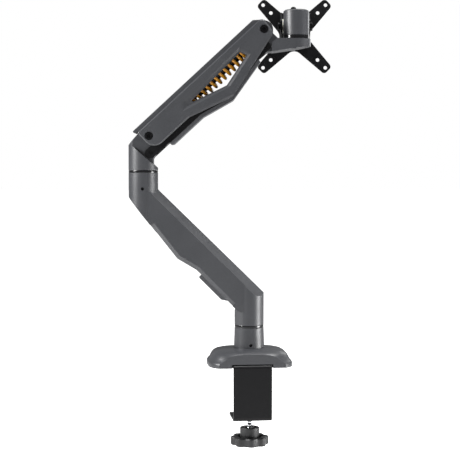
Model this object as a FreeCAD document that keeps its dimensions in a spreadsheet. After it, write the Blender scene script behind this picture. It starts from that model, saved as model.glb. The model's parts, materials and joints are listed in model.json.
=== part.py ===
import FreeCAD, Part
import math
import os
import re

import Sketcher
from FreeCAD import Placement, Rotation, Vector

# Desk monitor arm with a coil-spring parallelogram, a C-clamp and a VESA plate.
# Origin: on the base swivel axis, at the desk surface. +Z is up. The arm lies in
# the XZ plane, the plate faces +Y, and the clamp grips the desk edge from -Y.

# Driving dimensions, in millimetres and degrees
SIZES = {
    # swivel joints
    "tube_diameter": 46, "pin_diameter": 16, "bush_diameter": 20,
    "running_gap": 0.05, "washer_gap": 0.1, "washer_height": 4,
    "set_screw_diameter": 5, "groove_width": 6, "groove_depth": 1.2,
    # base
    "base_yaw": 6, "base_width": 132, "base_front": 48, "base_back": 57,
    "cover_height": 27, "cover_edge": 8, "cover_round": 34, "cover_wall": 3.5,
    "pad_thickness": 1.5, "plate_thickness": 8, "post_top": 58.5, "post_foot_radius": 24,
    "bore_floor": 24, "post_set_screw_z": 32, "post_screw_circle": 16.5,
    # clamp
    "bracket_width": 60, "bracket_thickness": 4, "bracket_front": 50, "bracket_drop": 82,
    "flange_back": 28, "foot_back": 14, "clamp_axis": 8, "clamp_diameter": 8,
    "grip_top": 25, "grip_diameter": 50, "knob_radius": 25.5, "knob_top": 112,
    "knob_bottom": 126, "hub_top": 98, "hub_diameter": 30.6, "lobe_radius": 5.6, "lobe_count": 8,
    # lower arm
    "elbow_reach": 165.5, "lower_start": 62.5, "elbow_top": 300.6,
    "beam_width": 43, "ridge_end": 135.5, "ridge_angle": 44.3, "ridge_width": 8,
    "bevel_width": 11.5, "back_start": 264, "back_slope": 1.267,
    "first_bend_x": 112, "first_bend_z": 167, "second_bend_x": 82, "second_bend_z": 149.3,
    "elbow_set_screw_z": 275.6, "elbow_bore": 48, "clip_width": 24, "clip_depth": 6, "clip_length": 54,
    # elbow knuckle and lift pivots
    "knuckle_start": 304.7, "pivot_shift": 10.2, "pivot_z": 357.5, "tongue_width": 33,
    "link_shift": 1.6, "link_drop": 26.4, "rod_shift": 0.5, "rod_drop": 10.5,
    "bolt_diameter": 8, "bolt_head": 11.4, "lift_bush": 11, "link_pin": 6, "rod_pin": 5,
    # upper arm
    "arm_length": 242, "arm_angle": 42.7, "channel_width": 45, "channel_wall": 2.5,
    "channel_top": 22, "panel_thickness": 3, "panel_top": 15.5, "panel_heel": 10,
    "panel_belly": 21.5, "belly_u": 136, "belly_v": 43.8, "panel_end": 9.5,
    # spring pack
    "spring_axis": 2, "spring_start": 76, "spring_end": 196, "spring_turns": 12,
    "spring_radius": 12.5, "wire_radius": 2.4, "seat_diameter": 30, "guide_diameter": 13,
    # lower link
    "link_width": 37.8, "link_wall": 2, "link_radius": 8.3, "link_cover": 5.5,
    # head
    "head_reach": 50.5, "head_radius": 22.6, "head_top": 508, "head_slope": 0.146,
    "housing_diameter": 40, "housing_start": 513.8, "housing_top": 551,
    "tilt_y": 34, "tilt_z": 532, "neck_width": 30, "yoke_width": 46.6, "ear_thickness": 2.8,
    "yoke_low": 500, "yoke_high": 555, "yoke_back": 58, "yoke_plate": 6,
    "vesa_z": 519, "vesa_face": 64.5, "vesa_thickness": 2.5, "vesa_large": 100,
    "vesa_small": 75, "vesa_hole": 5.8, "vesa_near": 48.6, "vesa_far": 60.3, "vesa_waist": 19.5,
}

doc = FreeCAD.newDocument("monitor_arm")
sheet = doc.addObject("Spreadsheet::Sheet", "Sizes")
for row, (alias, value) in enumerate(SIZES.items(), start=1):
    sheet.set(f"A{row}", alias)
    sheet.set(f"B{row}", str(value))
    sheet.setAlias(f"B{row}", alias)
doc.recompute()

WORD = re.compile(r"[a-z][a-z_]+")
ACROSS = {"XZ_Plane": Vector(0, -1, 0), "XY_Plane": Vector(0, 0, 1), "YZ_Plane": Vector(1, 0, 0)}
sub_parts = []


def linked(formula):
    """The formula as an expression on the sheet's cells."""
    return WORD.sub(lambda word: "Sizes." + word[0] if word[0] in SIZES else word[0], str(formula))


def amount(formula):
    """The formula's value now."""
    text = WORD.sub(lambda word: repr(SIZES[word[0]]) if word[0] in SIZES else word[0], str(formula))
    return FreeCAD.Units.Quantity(text).Value


def bind(item, **formulas):
    for name, formula in formulas.items():
        item.setExpression(name, linked(formula))
    return item


def keep(item, label, frame=None):
    """Names a finished sub-part and puts it in its place."""
    item.Label = label
    if frame is not None:
        item.Placement = frame.multiply(item.Placement)
    sub_parts.append(item)
    return item


# ---- PartDesign helpers -----------------------------------------------------------


def new_body(label, frame=None):
    body = doc.addObject("PartDesign::Body", label)
    return keep(body, label, frame)


def sketch_on(body, role, offset="0", turned=None):
    """An empty sketch on one of the body's own planes, moved along its normal."""
    plane = [item for item in body.Origin.OriginFeatures if item.Role == role][0]
    sketch = body.newObject("Sketcher::SketchObject", body.Name + "_sketch")
    sketch.AttachmentSupport = [(plane, "")]
    sketch.MapMode = "FlatFace"
    sketch.AttachmentOffset = turned or Placement(Vector(0, 0, amount(offset)), Rotation())
    return sketch


def hold(sketch, kind, geometry, point, formula):
    """Ties a point's distance from the sketch's origin to the sheet."""
    index = sketch.addConstraint(
        Sketcher.Constraint(kind, -1, 1, geometry, point, amount(formula)))
    sketch.setExpression(f"Constraints[{index}]", linked(formula))


def hold_radius(sketch, geometry, formula):
    index = sketch.addConstraint(Sketcher.Constraint("Radius", geometry, amount(formula)))
    sketch.setExpression(f"Constraints[{index}]", linked(formula))


def outline(sketch, corners):
    """A closed outline of corners (x, y) or (x, y, radius), fully held by the sheet."""
    spots = [Vector(amount(corner[0]), amount(corner[1]), 0) for corner in corners]
    count = len(corners)
    before = [(spots[i - 1] - spots[i]).normalize() for i in range(count)]
    after = [(spots[(i + 1) % count] - spots[i]).normalize() for i in range(count)]
    radii = [amount(corner[2]) if len(corner) > 2 else 0 for corner in corners]
    halves = [before[i].getAngle(after[i]) / 2 for i in range(count)]
    cuts = [radii[i] / math.tan(halves[i]) for i in range(count)]
    lines = []
    for i in range(count):
        j = (i + 1) % count
        side = Part.LineSegment(spots[i] + after[i] * cuts[i], spots[j] + before[j] * cuts[j])
        lines.append(sketch.addGeometry(side))
    for i in range(count):
        into, away = lines[i - 1], lines[i]
        if radii[i]:
            middle = (before[i] + after[i]).normalize()
            top = spots[i] + middle * (radii[i] / math.sin(halves[i]) - radii[i])
            ends = [spots[i] + before[i] * cuts[i], spots[i] + after[i] * cuts[i]]
            clockwise = (top - ends[0]).cross(ends[1] - ends[0]).z < 0
            if clockwise:
                ends.reverse()
            arc = sketch.addGeometry(Part.Arc(ends[0], top, ends[1]))
            enter, leave = (2, 1) if clockwise else (1, 2)
            sketch.addConstraint(Sketcher.Constraint("Tangent", into, 2, arc, enter))
            sketch.addConstraint(Sketcher.Constraint("Tangent", arc, leave, away, 1))
            hold_radius(sketch, arc, corners[i][2])
            held = sketch.addGeometry(Part.Point(spots[i]), True)
            sketch.addConstraint(Sketcher.Constraint("PointOnObject", held, 1, into))
            sketch.addConstraint(Sketcher.Constraint("PointOnObject", held, 1, away))
        else:
            held = away
            sketch.addConstraint(Sketcher.Constraint("Coincident", into, 2, away, 1))
        hold(sketch, "DistanceX", held, 1, corners[i][0])
        hold(sketch, "DistanceY", held, 1, corners[i][1])
    return sketch


def circle(sketch, x, y, radius):
    centre = Vector(amount(x), amount(y), 0)
    ring = sketch.addGeometry(Part.Circle(centre, Vector(0, 0, 1), amount(radius)))
    hold_radius(sketch, ring, radius)
    hold(sketch, "DistanceX", ring, 3, x)
    hold(sketch, "DistanceY", ring, 3, y)
    return sketch


def pad(body, sketch, length, symmetric=False):
    """Adds the sketch's outline, along its normal or evenly to both sides."""
    doc.recompute()
    feature = body.newObject("PartDesign::Pad", body.Name + "_pad")
    feature.Profile = sketch
    feature.SideType = "Symmetric" if symmetric else "One side"
    bind(feature, Length=length)
    doc.recompute()
    return feature


def pocket(body, sketch, length, symmetric=False, along=False):
    """Cuts the sketch's outline, against its normal, along it, or evenly to both sides."""
    doc.recompute()
    before = body.Shape.Volume
    feature = body.newObject("PartDesign::Pocket", body.Name + "_pocket")
    feature.Profile = sketch
    feature.SideType = "Symmetric" if symmetric else "One side"
    feature.Reversed = along
    bind(feature, Length=length)
    doc.recompute()
    if not body.Shape.Volume < before - 0.01:
        raise RuntimeError(f"{feature.Name} of {body.Label} cuts nothing")
    return feature


def revolve(label, profile, frame=None):
    """A turned piece: its profile is (radius, height) corners about the local Z axis."""
    body = new_body(label, frame)
    sketch = outline(sketch_on(body, "XZ_Plane"), profile)
    doc.recompute()
    feature = body.newObject("PartDesign::Revolution", label + "_turned")
    feature.Profile = sketch
    feature.ReferenceAxis = (sketch, ["V_Axis"])
    feature.Angle = 360
    doc.recompute()
    return body


# ---- Part helpers ---------------------------------------------------------------

UPRIGHT = Rotation()
ALONG_X = Rotation(Vector(0, 1, 0), 90)
ALONG_Y = Rotation(Vector(1, 0, 0), -90)


def rod(radius, length, at=(0, 0, 0), turn=UPRIGHT):
    """A plain cylinder from a point, along the turned Z axis."""
    cylinder = doc.addObject("Part::Cylinder", "rod")
    bind(cylinder, Radius=radius, Height=length)
    cylinder.Placement = Placement(Vector(*[amount(place) for place in at]), turn)
    return cylinder


def cone(radius_low, radius_high, length, at=(0, 0, 0), turn=UPRIGHT):
    """A plain cone from a point, along the turned Z axis."""
    solid = doc.addObject("Part::Cone", "cone")
    bind(solid, Radius1=radius_low, Radius2=radius_high, Height=length)
    solid.Placement = Placement(Vector(*[amount(place) for place in at]), turn)
    return solid


def hexagon(radius, length, at=(0, 0, 0), turn=UPRIGHT):
    """A hexagonal bar, for nuts and key sockets."""
    prism = doc.addObject("Part::Prism", "hexagon")
    prism.Polygon = 6
    bind(prism, Circumradius=radius, Height=length)
    prism.Placement = Placement(Vector(*[amount(place) for place in at]), turn)
    return prism


def cut(base, tool):
    result = doc.addObject("Part::Cut", "cut")
    result.Base = base
    result.Tool = tool
    return result


def joined(*pieces):
    result = doc.addObject("Part::MultiFuse", "joined")
    result.Shapes = list(pieces)
    result.Refine = True
    return result


def group(*pieces):
    """Separate solids that share one node."""
    result = doc.addObject("Part::Compound", "group")
    result.Links = list(pieces)
    return result


def tube(inner, outer, length, at=(0, 0, 0), turn=UPRIGHT):
    return cut(rod(outer, length, at, turn), rod(inner, length, at, turn))


# ---- frames ---------------------------------------------------------------------

TILTED = Rotation(Vector(0, 1, 0), -SIZES["arm_angle"])
LIFT = Vector(amount("-elbow_reach + pivot_shift"), 0, SIZES["pivot_z"])
LINK = LIFT + Vector(SIZES["link_shift"], 0, -SIZES["link_drop"])
ROD = LIFT + Vector(SIZES["rod_shift"], 0, -SIZES["rod_drop"])
ARM_TIP = LIFT + TILTED.multVec(Vector(SIZES["arm_length"], 0, 0))
LINK_TIP = LINK + ARM_TIP - LIFT
HEAD = ARM_TIP + Vector(SIZES["head_reach"], 0, 0)

BASE_FRAME = Placement(Vector(), Rotation(Vector(0, 0, 1), SIZES["base_yaw"]))
ELBOW_FRAME = Placement(Vector(-SIZES["elbow_reach"], 0, 0), UPRIGHT)
ARM_FRAME = Placement(LIFT, TILTED)
LINK_FRAME = Placement(LINK, TILTED)
ROD_FRAME = Placement(ROD, TILTED)
TIP_FRAME = Placement(ARM_TIP, UPRIGHT)
HEAD_FRAME = Placement(Vector(HEAD.x, 0, 0), UPRIGHT)
VESA_FRAME = Placement(Vector(HEAD.x, 0, SIZES["vesa_z"]), UPRIGHT)


def rounded(x_low, x_high, y_low, y_high, radius):
    """A rectangle's corners, all with one radius."""
    return [(x_low, y_low, radius), (x_high, y_low, radius),
            (x_high, y_high, radius), (x_low, y_high, radius)]


# ---- base -----------------------------------------------------------------------


def make_base_cover():
    """The cast cover: a low dome with a flat front and a notch for the clamp."""
    cover = new_body("base_cover", BASE_FRAME)
    half = "base_width / 2"
    edge = rounded(f"-{half}", half, "-base_back", "base_back", "cover_round")
    shoulder = rounded(f"-{half} + 9", f"{half} - 9", "-base_back + 9", "base_back - 9",
                       "cover_round - 7")
    crown = rounded(f"-{half} + 30", f"{half} - 30", "-base_back + 22", "base_back - 22",
                    "cover_round - 8")
    pad(cover, outline(sketch_on(cover, "XY_Plane", "washer_gap"), edge), "cover_edge")
    levels = [("cover_edge + washer_gap", edge), ("cover_height - 6", shoulder),
              ("cover_height", crown)]
    sections = [outline(sketch_on(cover, "XY_Plane", level), shape) for level, shape in levels]
    loft = cover.newObject("PartDesign::AdditiveLoft", "cover_dome")
    loft.Profile = sections[0]
    loft.Sections = sections[1:]
    loft.Ruled = True
    doc.recompute()
    front = [("-base_width", "-base_front"), ("base_width", "-base_front"),
             ("base_width", "-base_width"), ("-base_width", "-base_width")]
    pocket(cover, outline(sketch_on(cover, "XY_Plane"), front), "cover_height + 1", along=True)
    inside = rounded(f"-{half} + cover_wall", f"{half} - cover_wall",
                     "-base_front + cover_wall", "base_back - cover_wall", "cover_round - 4")
    pocket(cover, outline(sketch_on(cover, "XY_Plane"), inside),
           "pad_thickness + plate_thickness", along=True)
    hollow = rounded(f"-{half} + 16", f"{half} - 16", "-base_front + 9", "base_back - 16", "20")
    pocket(cover, outline(sketch_on(cover, "XY_Plane"), hollow), "cover_height - 8", along=True)
    pocket(cover, circle(sketch_on(cover, "XY_Plane"), "0", "0", "post_foot_radius + 0.2"),
           "cover_height + 1", along=True)
    notch = [("-bracket_width / 2 - 2", "-base_front - 1"), ("bracket_width / 2 + 2", "-base_front - 1"),
             ("bracket_width / 2 + 2", "-base_front + 8"), ("-bracket_width / 2 - 2", "-base_front + 8")]
    pocket(cover, outline(sketch_on(cover, "XY_Plane"), notch),
           "pad_thickness + bracket_thickness + 0.5", along=True)


def make_base_plate():
    """The steel plate under the cover, with a channel for the clamp's top flange."""
    plate = new_body("base_plate", BASE_FRAME)
    side = "(base_width / 2 - cover_wall - 0.5)"
    shape = rounded(f"-{side}", side, "-base_front + cover_wall + 0.5",
                    "base_back - cover_wall - 0.5", "cover_round - 4.5")
    pad(plate, outline(sketch_on(plate, "XY_Plane", "pad_thickness"), shape), "plate_thickness")
    channel = [("-bracket_width / 2 - 0.2", "-base_front"), ("bracket_width / 2 + 0.2", "-base_front"),
               ("bracket_width / 2 + 0.2", "flange_back"), ("-bracket_width / 2 - 0.2", "flange_back")]
    pocket(plate, outline(sketch_on(plate, "XY_Plane"), channel),
           "pad_thickness + bracket_thickness", along=True)
    holes = sketch_on(plate, "XY_Plane")
    for x, y in corners_of("post_screw_circle * 0.7071", "post_screw_circle * 0.7071"):
        circle(holes, x, y, "2")
    for x, y in BRACKET_SCREWS:
        circle(holes, x, y, "2.5")
    pocket(plate, holes, "20", along=True)
    heads = sketch_on(plate, "XY_Plane")
    for x, y in corners_of("post_screw_circle * 0.7071", "post_screw_circle * 0.7071"):
        circle(heads, x, y, "3.9")
    pocket(plate, heads, "pad_thickness + bracket_thickness + 1.9", along=True)


def corners_of(x, y):
    """The four points at plus and minus x and y."""
    return [(f"-{x}", f"-{y}"), (x, f"-{y}"), (x, y), (f"-{x}", y)]


BRACKET_SCREWS = [("-22", "-30"), ("22", "-30"), ("22", "20"), ("-22", "20")]


def make_base_pad():
    """The rubber sheet that the base stands on."""
    sheet_body = new_body("base_pad", BASE_FRAME)
    side = "(base_width / 2 - cover_wall - 2)"
    shape = rounded(f"-{side}", side, "-base_front + cover_wall + 2",
                    "base_back - cover_wall - 2", "cover_round - 6")
    pad(sheet_body, outline(sketch_on(sheet_body, "XY_Plane"), shape), "pad_thickness")


def make_post():
    """The post: drafted outside, bored for the bush, tapped for its screws."""
    low = "pad_thickness + plate_thickness"
    post = revolve("base_post", [
        ("0", low), ("post_foot_radius", low), ("post_foot_radius", "cover_height"),
        ("tube_diameter / 2", "post_top"), ("bush_diameter / 2", "post_top"),
        ("bush_diameter / 2", "bore_floor"), ("0", "bore_floor")], BASE_FRAME)
    taps = sketch_on(post, "XY_Plane", low)
    for x, y in corners_of("post_screw_circle * 0.7071", "post_screw_circle * 0.7071"):
        circle(taps, x, y, "2")
    pocket(post, taps, "12", along=True)
    side = circle(sketch_on(post, "XZ_Plane", "tube_diameter / 2 + 2"), "0", "post_set_screw_z",
                  "set_screw_diameter / 2")
    pocket(post, side, "tube_diameter / 2")


def countersunk(radius, length, x, y, z):
    """A countersunk screw with its head at the bottom and a hexagon socket."""
    head = cone(f"{radius} * 1.9", radius, f"{radius} * 0.9", (x, y, z))
    body = joined(head, rod(radius, length, (x, y, z)))
    return cut(body, hexagon(f"{radius} * 0.6", f"{radius} * 0.7", (x, y, z)))


def make_base_screws():
    low = "pad_thickness + bracket_thickness"
    spots = corners_of("post_screw_circle * 0.7071", "post_screw_circle * 0.7071")
    screws = [countersunk("2", "14", x, y, low) for x, y in spots]
    keep(group(*screws), "post_screws", BASE_FRAME)
    screws = [countersunk("2.5", "plate_thickness - 0.2", x, y, "pad_thickness")
              for x, y in BRACKET_SCREWS]
    keep(group(*screws), "bracket_screws", BASE_FRAME)


def set_screw(label, frame, z):
    """A grub screw across the bore wall, its point in the pin's groove."""
    start = ("0", "3 - tube_diameter / 2", z)
    body = rod("set_screw_diameter / 2 - running_gap",
               "tube_diameter / 2 - pin_diameter / 2 + groove_depth - 3.4", start, ALONG_Y)
    keep(cut(body, hexagon("1.4", "2.5", start, ALONG_Y)), label, frame)


def swivel_pin(label, frame, low, high, groove_z):
    """A turned pin with a groove that its grub screw runs in."""
    radius = "pin_diameter / 2"
    neck = "pin_diameter / 2 - groove_depth"
    revolve(label, [
        ("0", low), (f"{radius} - 1", low), (radius, f"{low} + 1"),
        (radius, f"{groove_z} - groove_width / 2"), (neck, f"{groove_z} - groove_width / 2"),
        (neck, f"{groove_z} + groove_width / 2"), (radius, f"{groove_z} + groove_width / 2"),
        (radius, high), ("0", high)], frame)


def swivel_bush(label, frame, low, high, groove_z):
    """A nylon sleeve between a swivel pin and its bore, open for the grub screw."""
    sleeve = tube("pin_diameter / 2 + running_gap", "bush_diameter / 2", f"{high} - ({low})",
                  ("0", "0", low))
    hole = rod("set_screw_diameter / 2", "bush_diameter", ("0", "-bush_diameter", groove_z), ALONG_Y)
    keep(cut(sleeve, hole), label, frame)


def washer(label, frame, start, outer, inner, height):
    keep(tube(inner, outer, height, ("0", "0", start)), label, frame)


def make_bracket():
    """The bent steel strap of the clamp: flange, back and foot in one."""
    bracket = new_body("clamp_bracket", BASE_FRAME)
    top = "pad_thickness + bracket_thickness"
    strap = [("flange_back", top), ("-bracket_front", top, "6"),
             ("-bracket_front", "-bracket_drop", "6"), ("foot_back", "-bracket_drop"),
             ("foot_back", "-bracket_drop + bracket_thickness"),
             ("-bracket_front + bracket_thickness", "-bracket_drop + bracket_thickness", "2"),
             ("-bracket_front + bracket_thickness", "pad_thickness", "2"),
             ("flange_back", "pad_thickness")]
    pad(bracket, outline(sketch_on(bracket, "YZ_Plane"), strap), "bracket_width", symmetric=True)
    holes = sketch_on(bracket, "XY_Plane")
    for x, y in BRACKET_SCREWS:
        circle(holes, x, y, "4.75")
    pocket(bracket, holes, "20", along=True)
    foot = circle(sketch_on(bracket, "XY_Plane", "-bracket_drop - 1"), "0", "-clamp_axis",
                  "clamp_diameter / 2 + 0.5")
    pocket(bracket, foot, "bracket_thickness + 2", along=True)


def make_clamp():
    """The threaded boss, the screw with its knob, and the grip pad."""
    axis = Placement(BASE_FRAME.multVec(Vector(0, -SIZES["clamp_axis"], 0)), BASE_FRAME.Rotation)
    keep(tube("clamp_diameter / 2 + running_gap", "10", "8",
              ("0", "0", "-bracket_drop + bracket_thickness")), "clamp_nut", axis)
    shank = rod("clamp_diameter / 2", "knob_bottom - 2 - grip_top - 9.2",
                ("0", "0", "-knob_bottom + 2"))
    keep(shank, "clamp_screw", axis)
    revolve("grip_disc", [
        ("0", "-grip_top - 8"), ("clamp_diameter / 2 + running_gap", "-grip_top - 8"),
        ("clamp_diameter / 2 + running_gap", "-grip_top - 13"), ("8", "-grip_top - 13"),
        ("8", "-grip_top - 8"), ("grip_diameter / 2", "-grip_top - 6"),
        ("grip_diameter / 2", "-grip_top - 3"), ("0", "-grip_top - 3")], axis)
    revolve("grip_rubber", [
        ("0", "-grip_top - 3"), ("grip_diameter / 2 - 1", "-grip_top - 3"),
        ("grip_diameter / 2 - 1", "-grip_top - 0.6"), ("grip_diameter / 2 - 1.6", "-grip_top"),
        ("0", "-grip_top")], axis)
    knob = revolve("clamp_knob", [
        ("clamp_diameter / 2", "-knob_bottom"), ("knob_radius", "-knob_bottom"),
        ("knob_radius", "-knob_top"), ("knob_radius - 4", "-knob_top"),
        ("knob_radius - 5.5", "-knob_bottom + 4"), ("hub_diameter / 2", "-knob_bottom + 4"),
        ("hub_diameter / 2", "-hub_top"), ("hub_diameter / 2 - 3", "-hub_top"),
        ("hub_diameter / 2 - 5", "-hub_top - 3"), ("clamp_diameter / 2", "-hub_top - 3")], axis)
    lobe = pad(knob, circle(sketch_on(knob, "XY_Plane", "-knob_bottom"), "knob_radius - 1", "0",
                            "lobe_radius"), "knob_bottom - knob_top")
    ring = knob.newObject("PartDesign::PolarPattern", "knob_lobes")
    ring.Originals = [lobe]
    ring.Axis = ([item for item in knob.Origin.OriginFeatures if item.Role == "Z_Axis"][0], [""])
    ring.Angle = 360
    ring.Occurrences = SIZES["lobe_count"]
    knob.Tip = ring
    doc.recompute()
    cup = sketch_on(knob, "XY_Plane", "-knob_top + 1")
    circle(cup, "0", "0", "knob_radius - 4")
    circle(cup, "0", "0", "hub_diameter / 2 + 0.01")
    pocket(knob, cup, "knob_bottom - knob_top - 3")


# ---- lower arm ------------------------------------------------------------------


def make_lower_arm():
    """The slanted casting between the base swivel and the elbow swivel."""
    arm = new_body("lower_arm")
    end = "(second_bend_z - second_bend_x)"
    beam = [("-elbow_reach", "first_bend_z + (elbow_reach - first_bend_x) * back_slope"),
            ("-first_bend_x", "first_bend_z", "14"), ("-second_bend_x", "second_bend_z", "24"),
            ("-18", f"{end} + 18"), ("0", f"{end} + 18"), ("0", "ridge_end"),
            ("-elbow_reach", "ridge_end + elbow_reach * 0.9758")]
    pad(arm, outline(sketch_on(arm, "XZ_Plane"), beam), "beam_width", symmetric=True)
    pad(arm, circle(sketch_on(arm, "XY_Plane", "lower_start"), "0", "0", "tube_diameter / 2"),
        "ridge_end - lower_start")
    slope = Placement(Vector(0, SIZES["ridge_end"], 0),
                      Rotation(Vector(1, 0, 0), SIZES["ridge_angle"]))
    roof = outline(sketch_on(arm, "YZ_Plane", turned=slope), [
        ("-30", "40"), ("-30", "-17"), ("-ridge_width / 2", "0"), ("ridge_width / 2", "0"),
        ("30", "-17"), ("30", "40")])
    pocket(arm, roof, "700", symmetric=True)
    pad(arm, circle(sketch_on(arm, "XY_Plane", "elbow_top - 95"), "-elbow_reach", "0",
                    "tube_diameter / 2"), "95")
    heel = [("-200", "first_bend_z + (200 - first_bend_x) * back_slope - 0.8"),
            ("-200", "first_bend_z - 0.8"), ("-first_bend_x", "first_bend_z - 0.8")]
    pocket(arm, outline(sketch_on(arm, "XZ_Plane"), heel), "60", symmetric=True)
    pocket(arm, circle(sketch_on(arm, "XY_Plane", "elbow_top"), "-elbow_reach", "0",
                       "bush_diameter / 2"), "elbow_bore")
    pocket(arm, circle(sketch_on(arm, "XY_Plane", "lower_start"), "0", "0", "pin_diameter / 2"),
           "38", along=True)
    pocket(arm, circle(sketch_on(arm, "XZ_Plane", "tube_diameter / 2 + 2"), "-elbow_reach",
                       "elbow_set_screw_z", "set_screw_diameter / 2"), "tube_diameter / 2")
    pocket(arm, outline(sketch_on(arm, "XZ_Plane"), cable_groove("6")), "16", symmetric=True)


def cable_groove(depth):
    """The cable groove's side outline, under the arm's lower third."""
    x_low, x_high = "-second_bend_x + 9", "-second_bend_x + 57"
    line = "(second_bend_z - second_bend_x)"
    return [(x_low, f"{line} + second_bend_x - 9 - 9"),
            (x_high, f"{line} + second_bend_x - 57 - 9"),
            (f"{x_high} + 4.5 + {depth} / 1.414", f"{line} + second_bend_x - 57 - 4.5 + {depth} / 1.414"),
            (f"{x_low} + 4.5 + {depth} / 1.414", f"{line} + second_bend_x - 9 - 4.5 + {depth} / 1.414")]


def make_cable_clip():
    """The open clip that closes the cable groove."""
    slope = Placement(Vector(-SIZES["second_bend_x"], 0, SIZES["second_bend_z"]),
                      Rotation(Vector(0, 1, 0), 45))
    clip = new_body("cable_clip", slope)
    side = [("11", "0"), ("11", "-clip_depth"), ("clip_length + 6", "-clip_depth"),
            ("clip_length + 15", "0")]
    pad(clip, outline(sketch_on(clip, "XZ_Plane"), side), "clip_width", symmetric=True)
    tunnel = [("5", "1"), ("5", "-clip_depth + 1.6"), ("clip_length + 30", "-clip_depth + 1.6"),
              ("clip_length + 30", "1")]
    pocket(clip, outline(sketch_on(clip, "XZ_Plane"), tunnel), "16", symmetric=True)


# ---- elbow knuckle --------------------------------------------------------------

PX = "(pivot_shift - elbow_reach)"


def make_knuckle():
    """The casting above the elbow: a round neck cut aslant, and a flat tongue."""
    knuckle = new_body("knuckle")
    pad(knuckle, circle(sketch_on(knuckle, "XY_Plane", "knuckle_start"), "-elbow_reach", "0",
                        "tube_diameter / 2"), "61")
    right = [("-elbow_reach", "328.2"), ("-elbow_reach + 30", "302"), ("-elbow_reach + 30", "380"),
             ("-elbow_reach", "380")]
    pocket(knuckle, outline(sketch_on(knuckle, "XZ_Plane"), right), "60", symmetric=True)
    above = [("-elbow_reach - 30", "354.45"), ("-elbow_reach + 30", "301.95"),
             ("-elbow_reach + 30", "380"), ("-elbow_reach - 30", "380")]
    pocket(knuckle, outline(sketch_on(knuckle, "XZ_Plane", "tube_diameter / 2 + 1"), above),
           "tube_diameter / 2 + 1 - tongue_width / 2")
    pocket(knuckle, outline(sketch_on(knuckle, "XZ_Plane", "-tube_diameter / 2 - 1"), above),
           "tube_diameter / 2 + 1 - tongue_width / 2", along=True)
    tongue = [("-elbow_reach", "310"), (f"{PX} + 5.7", "310"), (f"{PX} + 5.7", "322", "2"),
              (f"{PX} + 10", "329", "3"), (f"{PX} + 10", "337", "3"), (f"{PX} + 15.5", "346", "4"),
              (f"{PX} + 15.5", "pivot_z + 15.5", "15.4"), (f"{PX} - 15.5", "pivot_z + 15.5", "15.4"),
              (f"{PX} - 15.5", "342"), ("-elbow_reach", "340")]
    pad(knuckle, outline(sketch_on(knuckle, "XZ_Plane"), tongue), "tongue_width", symmetric=True)
    corner = [("-elbow_reach - 25", "341"), ("-elbow_reach + 2", "371.4"), ("-elbow_reach - 25", "372")]
    pocket(knuckle, outline(sketch_on(knuckle, "XZ_Plane"), corner), "60", symmetric=True)
    slot = [(f"{PX} - 7", "341", "3"), (f"{PX} + 2", "338"), (f"{PX} + 14", "324"),
            (f"{PX} + 22", "324"), (f"{PX} + 22", "380"), (f"{PX} - 7", "380")]
    pocket(knuckle, outline(sketch_on(knuckle, "XZ_Plane"), slot), "8", symmetric=True)
    bores = sketch_on(knuckle, "XZ_Plane")
    circle(bores, PX, "pivot_z", "lift_bush / 2")
    circle(bores, f"{PX} + link_shift", "pivot_z - link_drop", "link_pin / 2")
    circle(bores, f"{PX} + rod_shift", "pivot_z - rod_drop", "rod_pin / 2")
    pocket(knuckle, bores, "60", symmetric=True)
    pocket(knuckle, circle(sketch_on(knuckle, "XY_Plane", "knuckle_start"), "-elbow_reach", "0",
                           "pin_diameter / 2"), "21", along=True)


def cross_bolt(label, frame, half, head_radius, head_height, radius):
    """A pivot bolt across the arm, with a socket head at each end."""
    shank = rod(radius, f"2 * {half}", ("0", f"-{half}", "0"), ALONG_Y)
    front = rod(head_radius, head_height, ("0", f"-{half} - {head_height}", "0"), ALONG_Y)
    back = rod(head_radius, head_height, ("0", half, "0"), ALONG_Y)
    socket = hexagon("3.4", "2", ("0", f"-{half} - {head_height}", "0"), ALONG_Y)
    keep(cut(joined(shank, front, back), socket), label, frame)


def cross_pin(label, frame, half, radius):
    keep(rod(radius, f"2 * {half}", ("0", f"-{half}", "0"), ALONG_Y), label, frame)


def make_lift_pivots():
    inner = "lift_bush / 2"
    bore = "bolt_diameter / 2 + running_gap"
    length = "tongue_width / 2 - 4"
    front = tube(bore, inner, length, ("0", "-tongue_width / 2", "0"), ALONG_Y)
    back = tube(bore, inner, length, ("0", "4", "0"), ALONG_Y)
    keep(group(front, back), "lift_bushes", Placement(LIFT, UPRIGHT))
    cross_bolt("lift_bolt", ARM_FRAME, "channel_width / 2", "bolt_head / 2", "2.8",
               "bolt_diameter / 2")
    keep(tube(bore, inner, "tongue_width", ("0", "-tongue_width / 2", "0"), ALONG_Y),
         "tip_bush", TIP_FRAME)
    cross_bolt("tip_bolt", Placement(ARM_TIP, TILTED), "channel_width / 2", "bolt_head / 2", "2.8",
               "bolt_diameter / 2")
    cross_pin("link_pin", Placement(LINK, UPRIGHT), "19.4", "link_pin / 2 - running_gap")
    cross_pin("link_tip_pin", Placement(LINK_TIP, UPRIGHT), "19.4", "link_pin / 2 - running_gap")
    cross_pin("rod_pin", Placement(ROD, UPRIGHT), "tongue_width / 2", "rod_pin / 2 - running_gap")


# ---- upper arm ------------------------------------------------------------------


def arm_side():
    """The side outline of the upper arm, in the arm's frame."""
    return [("-panel_heel", "panel_top", "1.5"), ("arm_length + 4", "panel_top", "3"),
            ("arm_length + 10.2", "11.5", "3"), ("arm_length + panel_end - 2", "-14.2", "9"),
            ("belly_u", "-belly_v", "12"), ("panel_heel + 55.2", "-panel_belly", "16"),
            ("-panel_heel", "-panel_belly", "18")]


def window_opening():
    """The long window's clear outline, in the arm's frame."""
    return [("78", "-5.3", "1.5"), ("190", "-1.1", "2"), ("195", "-11", "2"), ("141", "-24.5", "6")]


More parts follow.
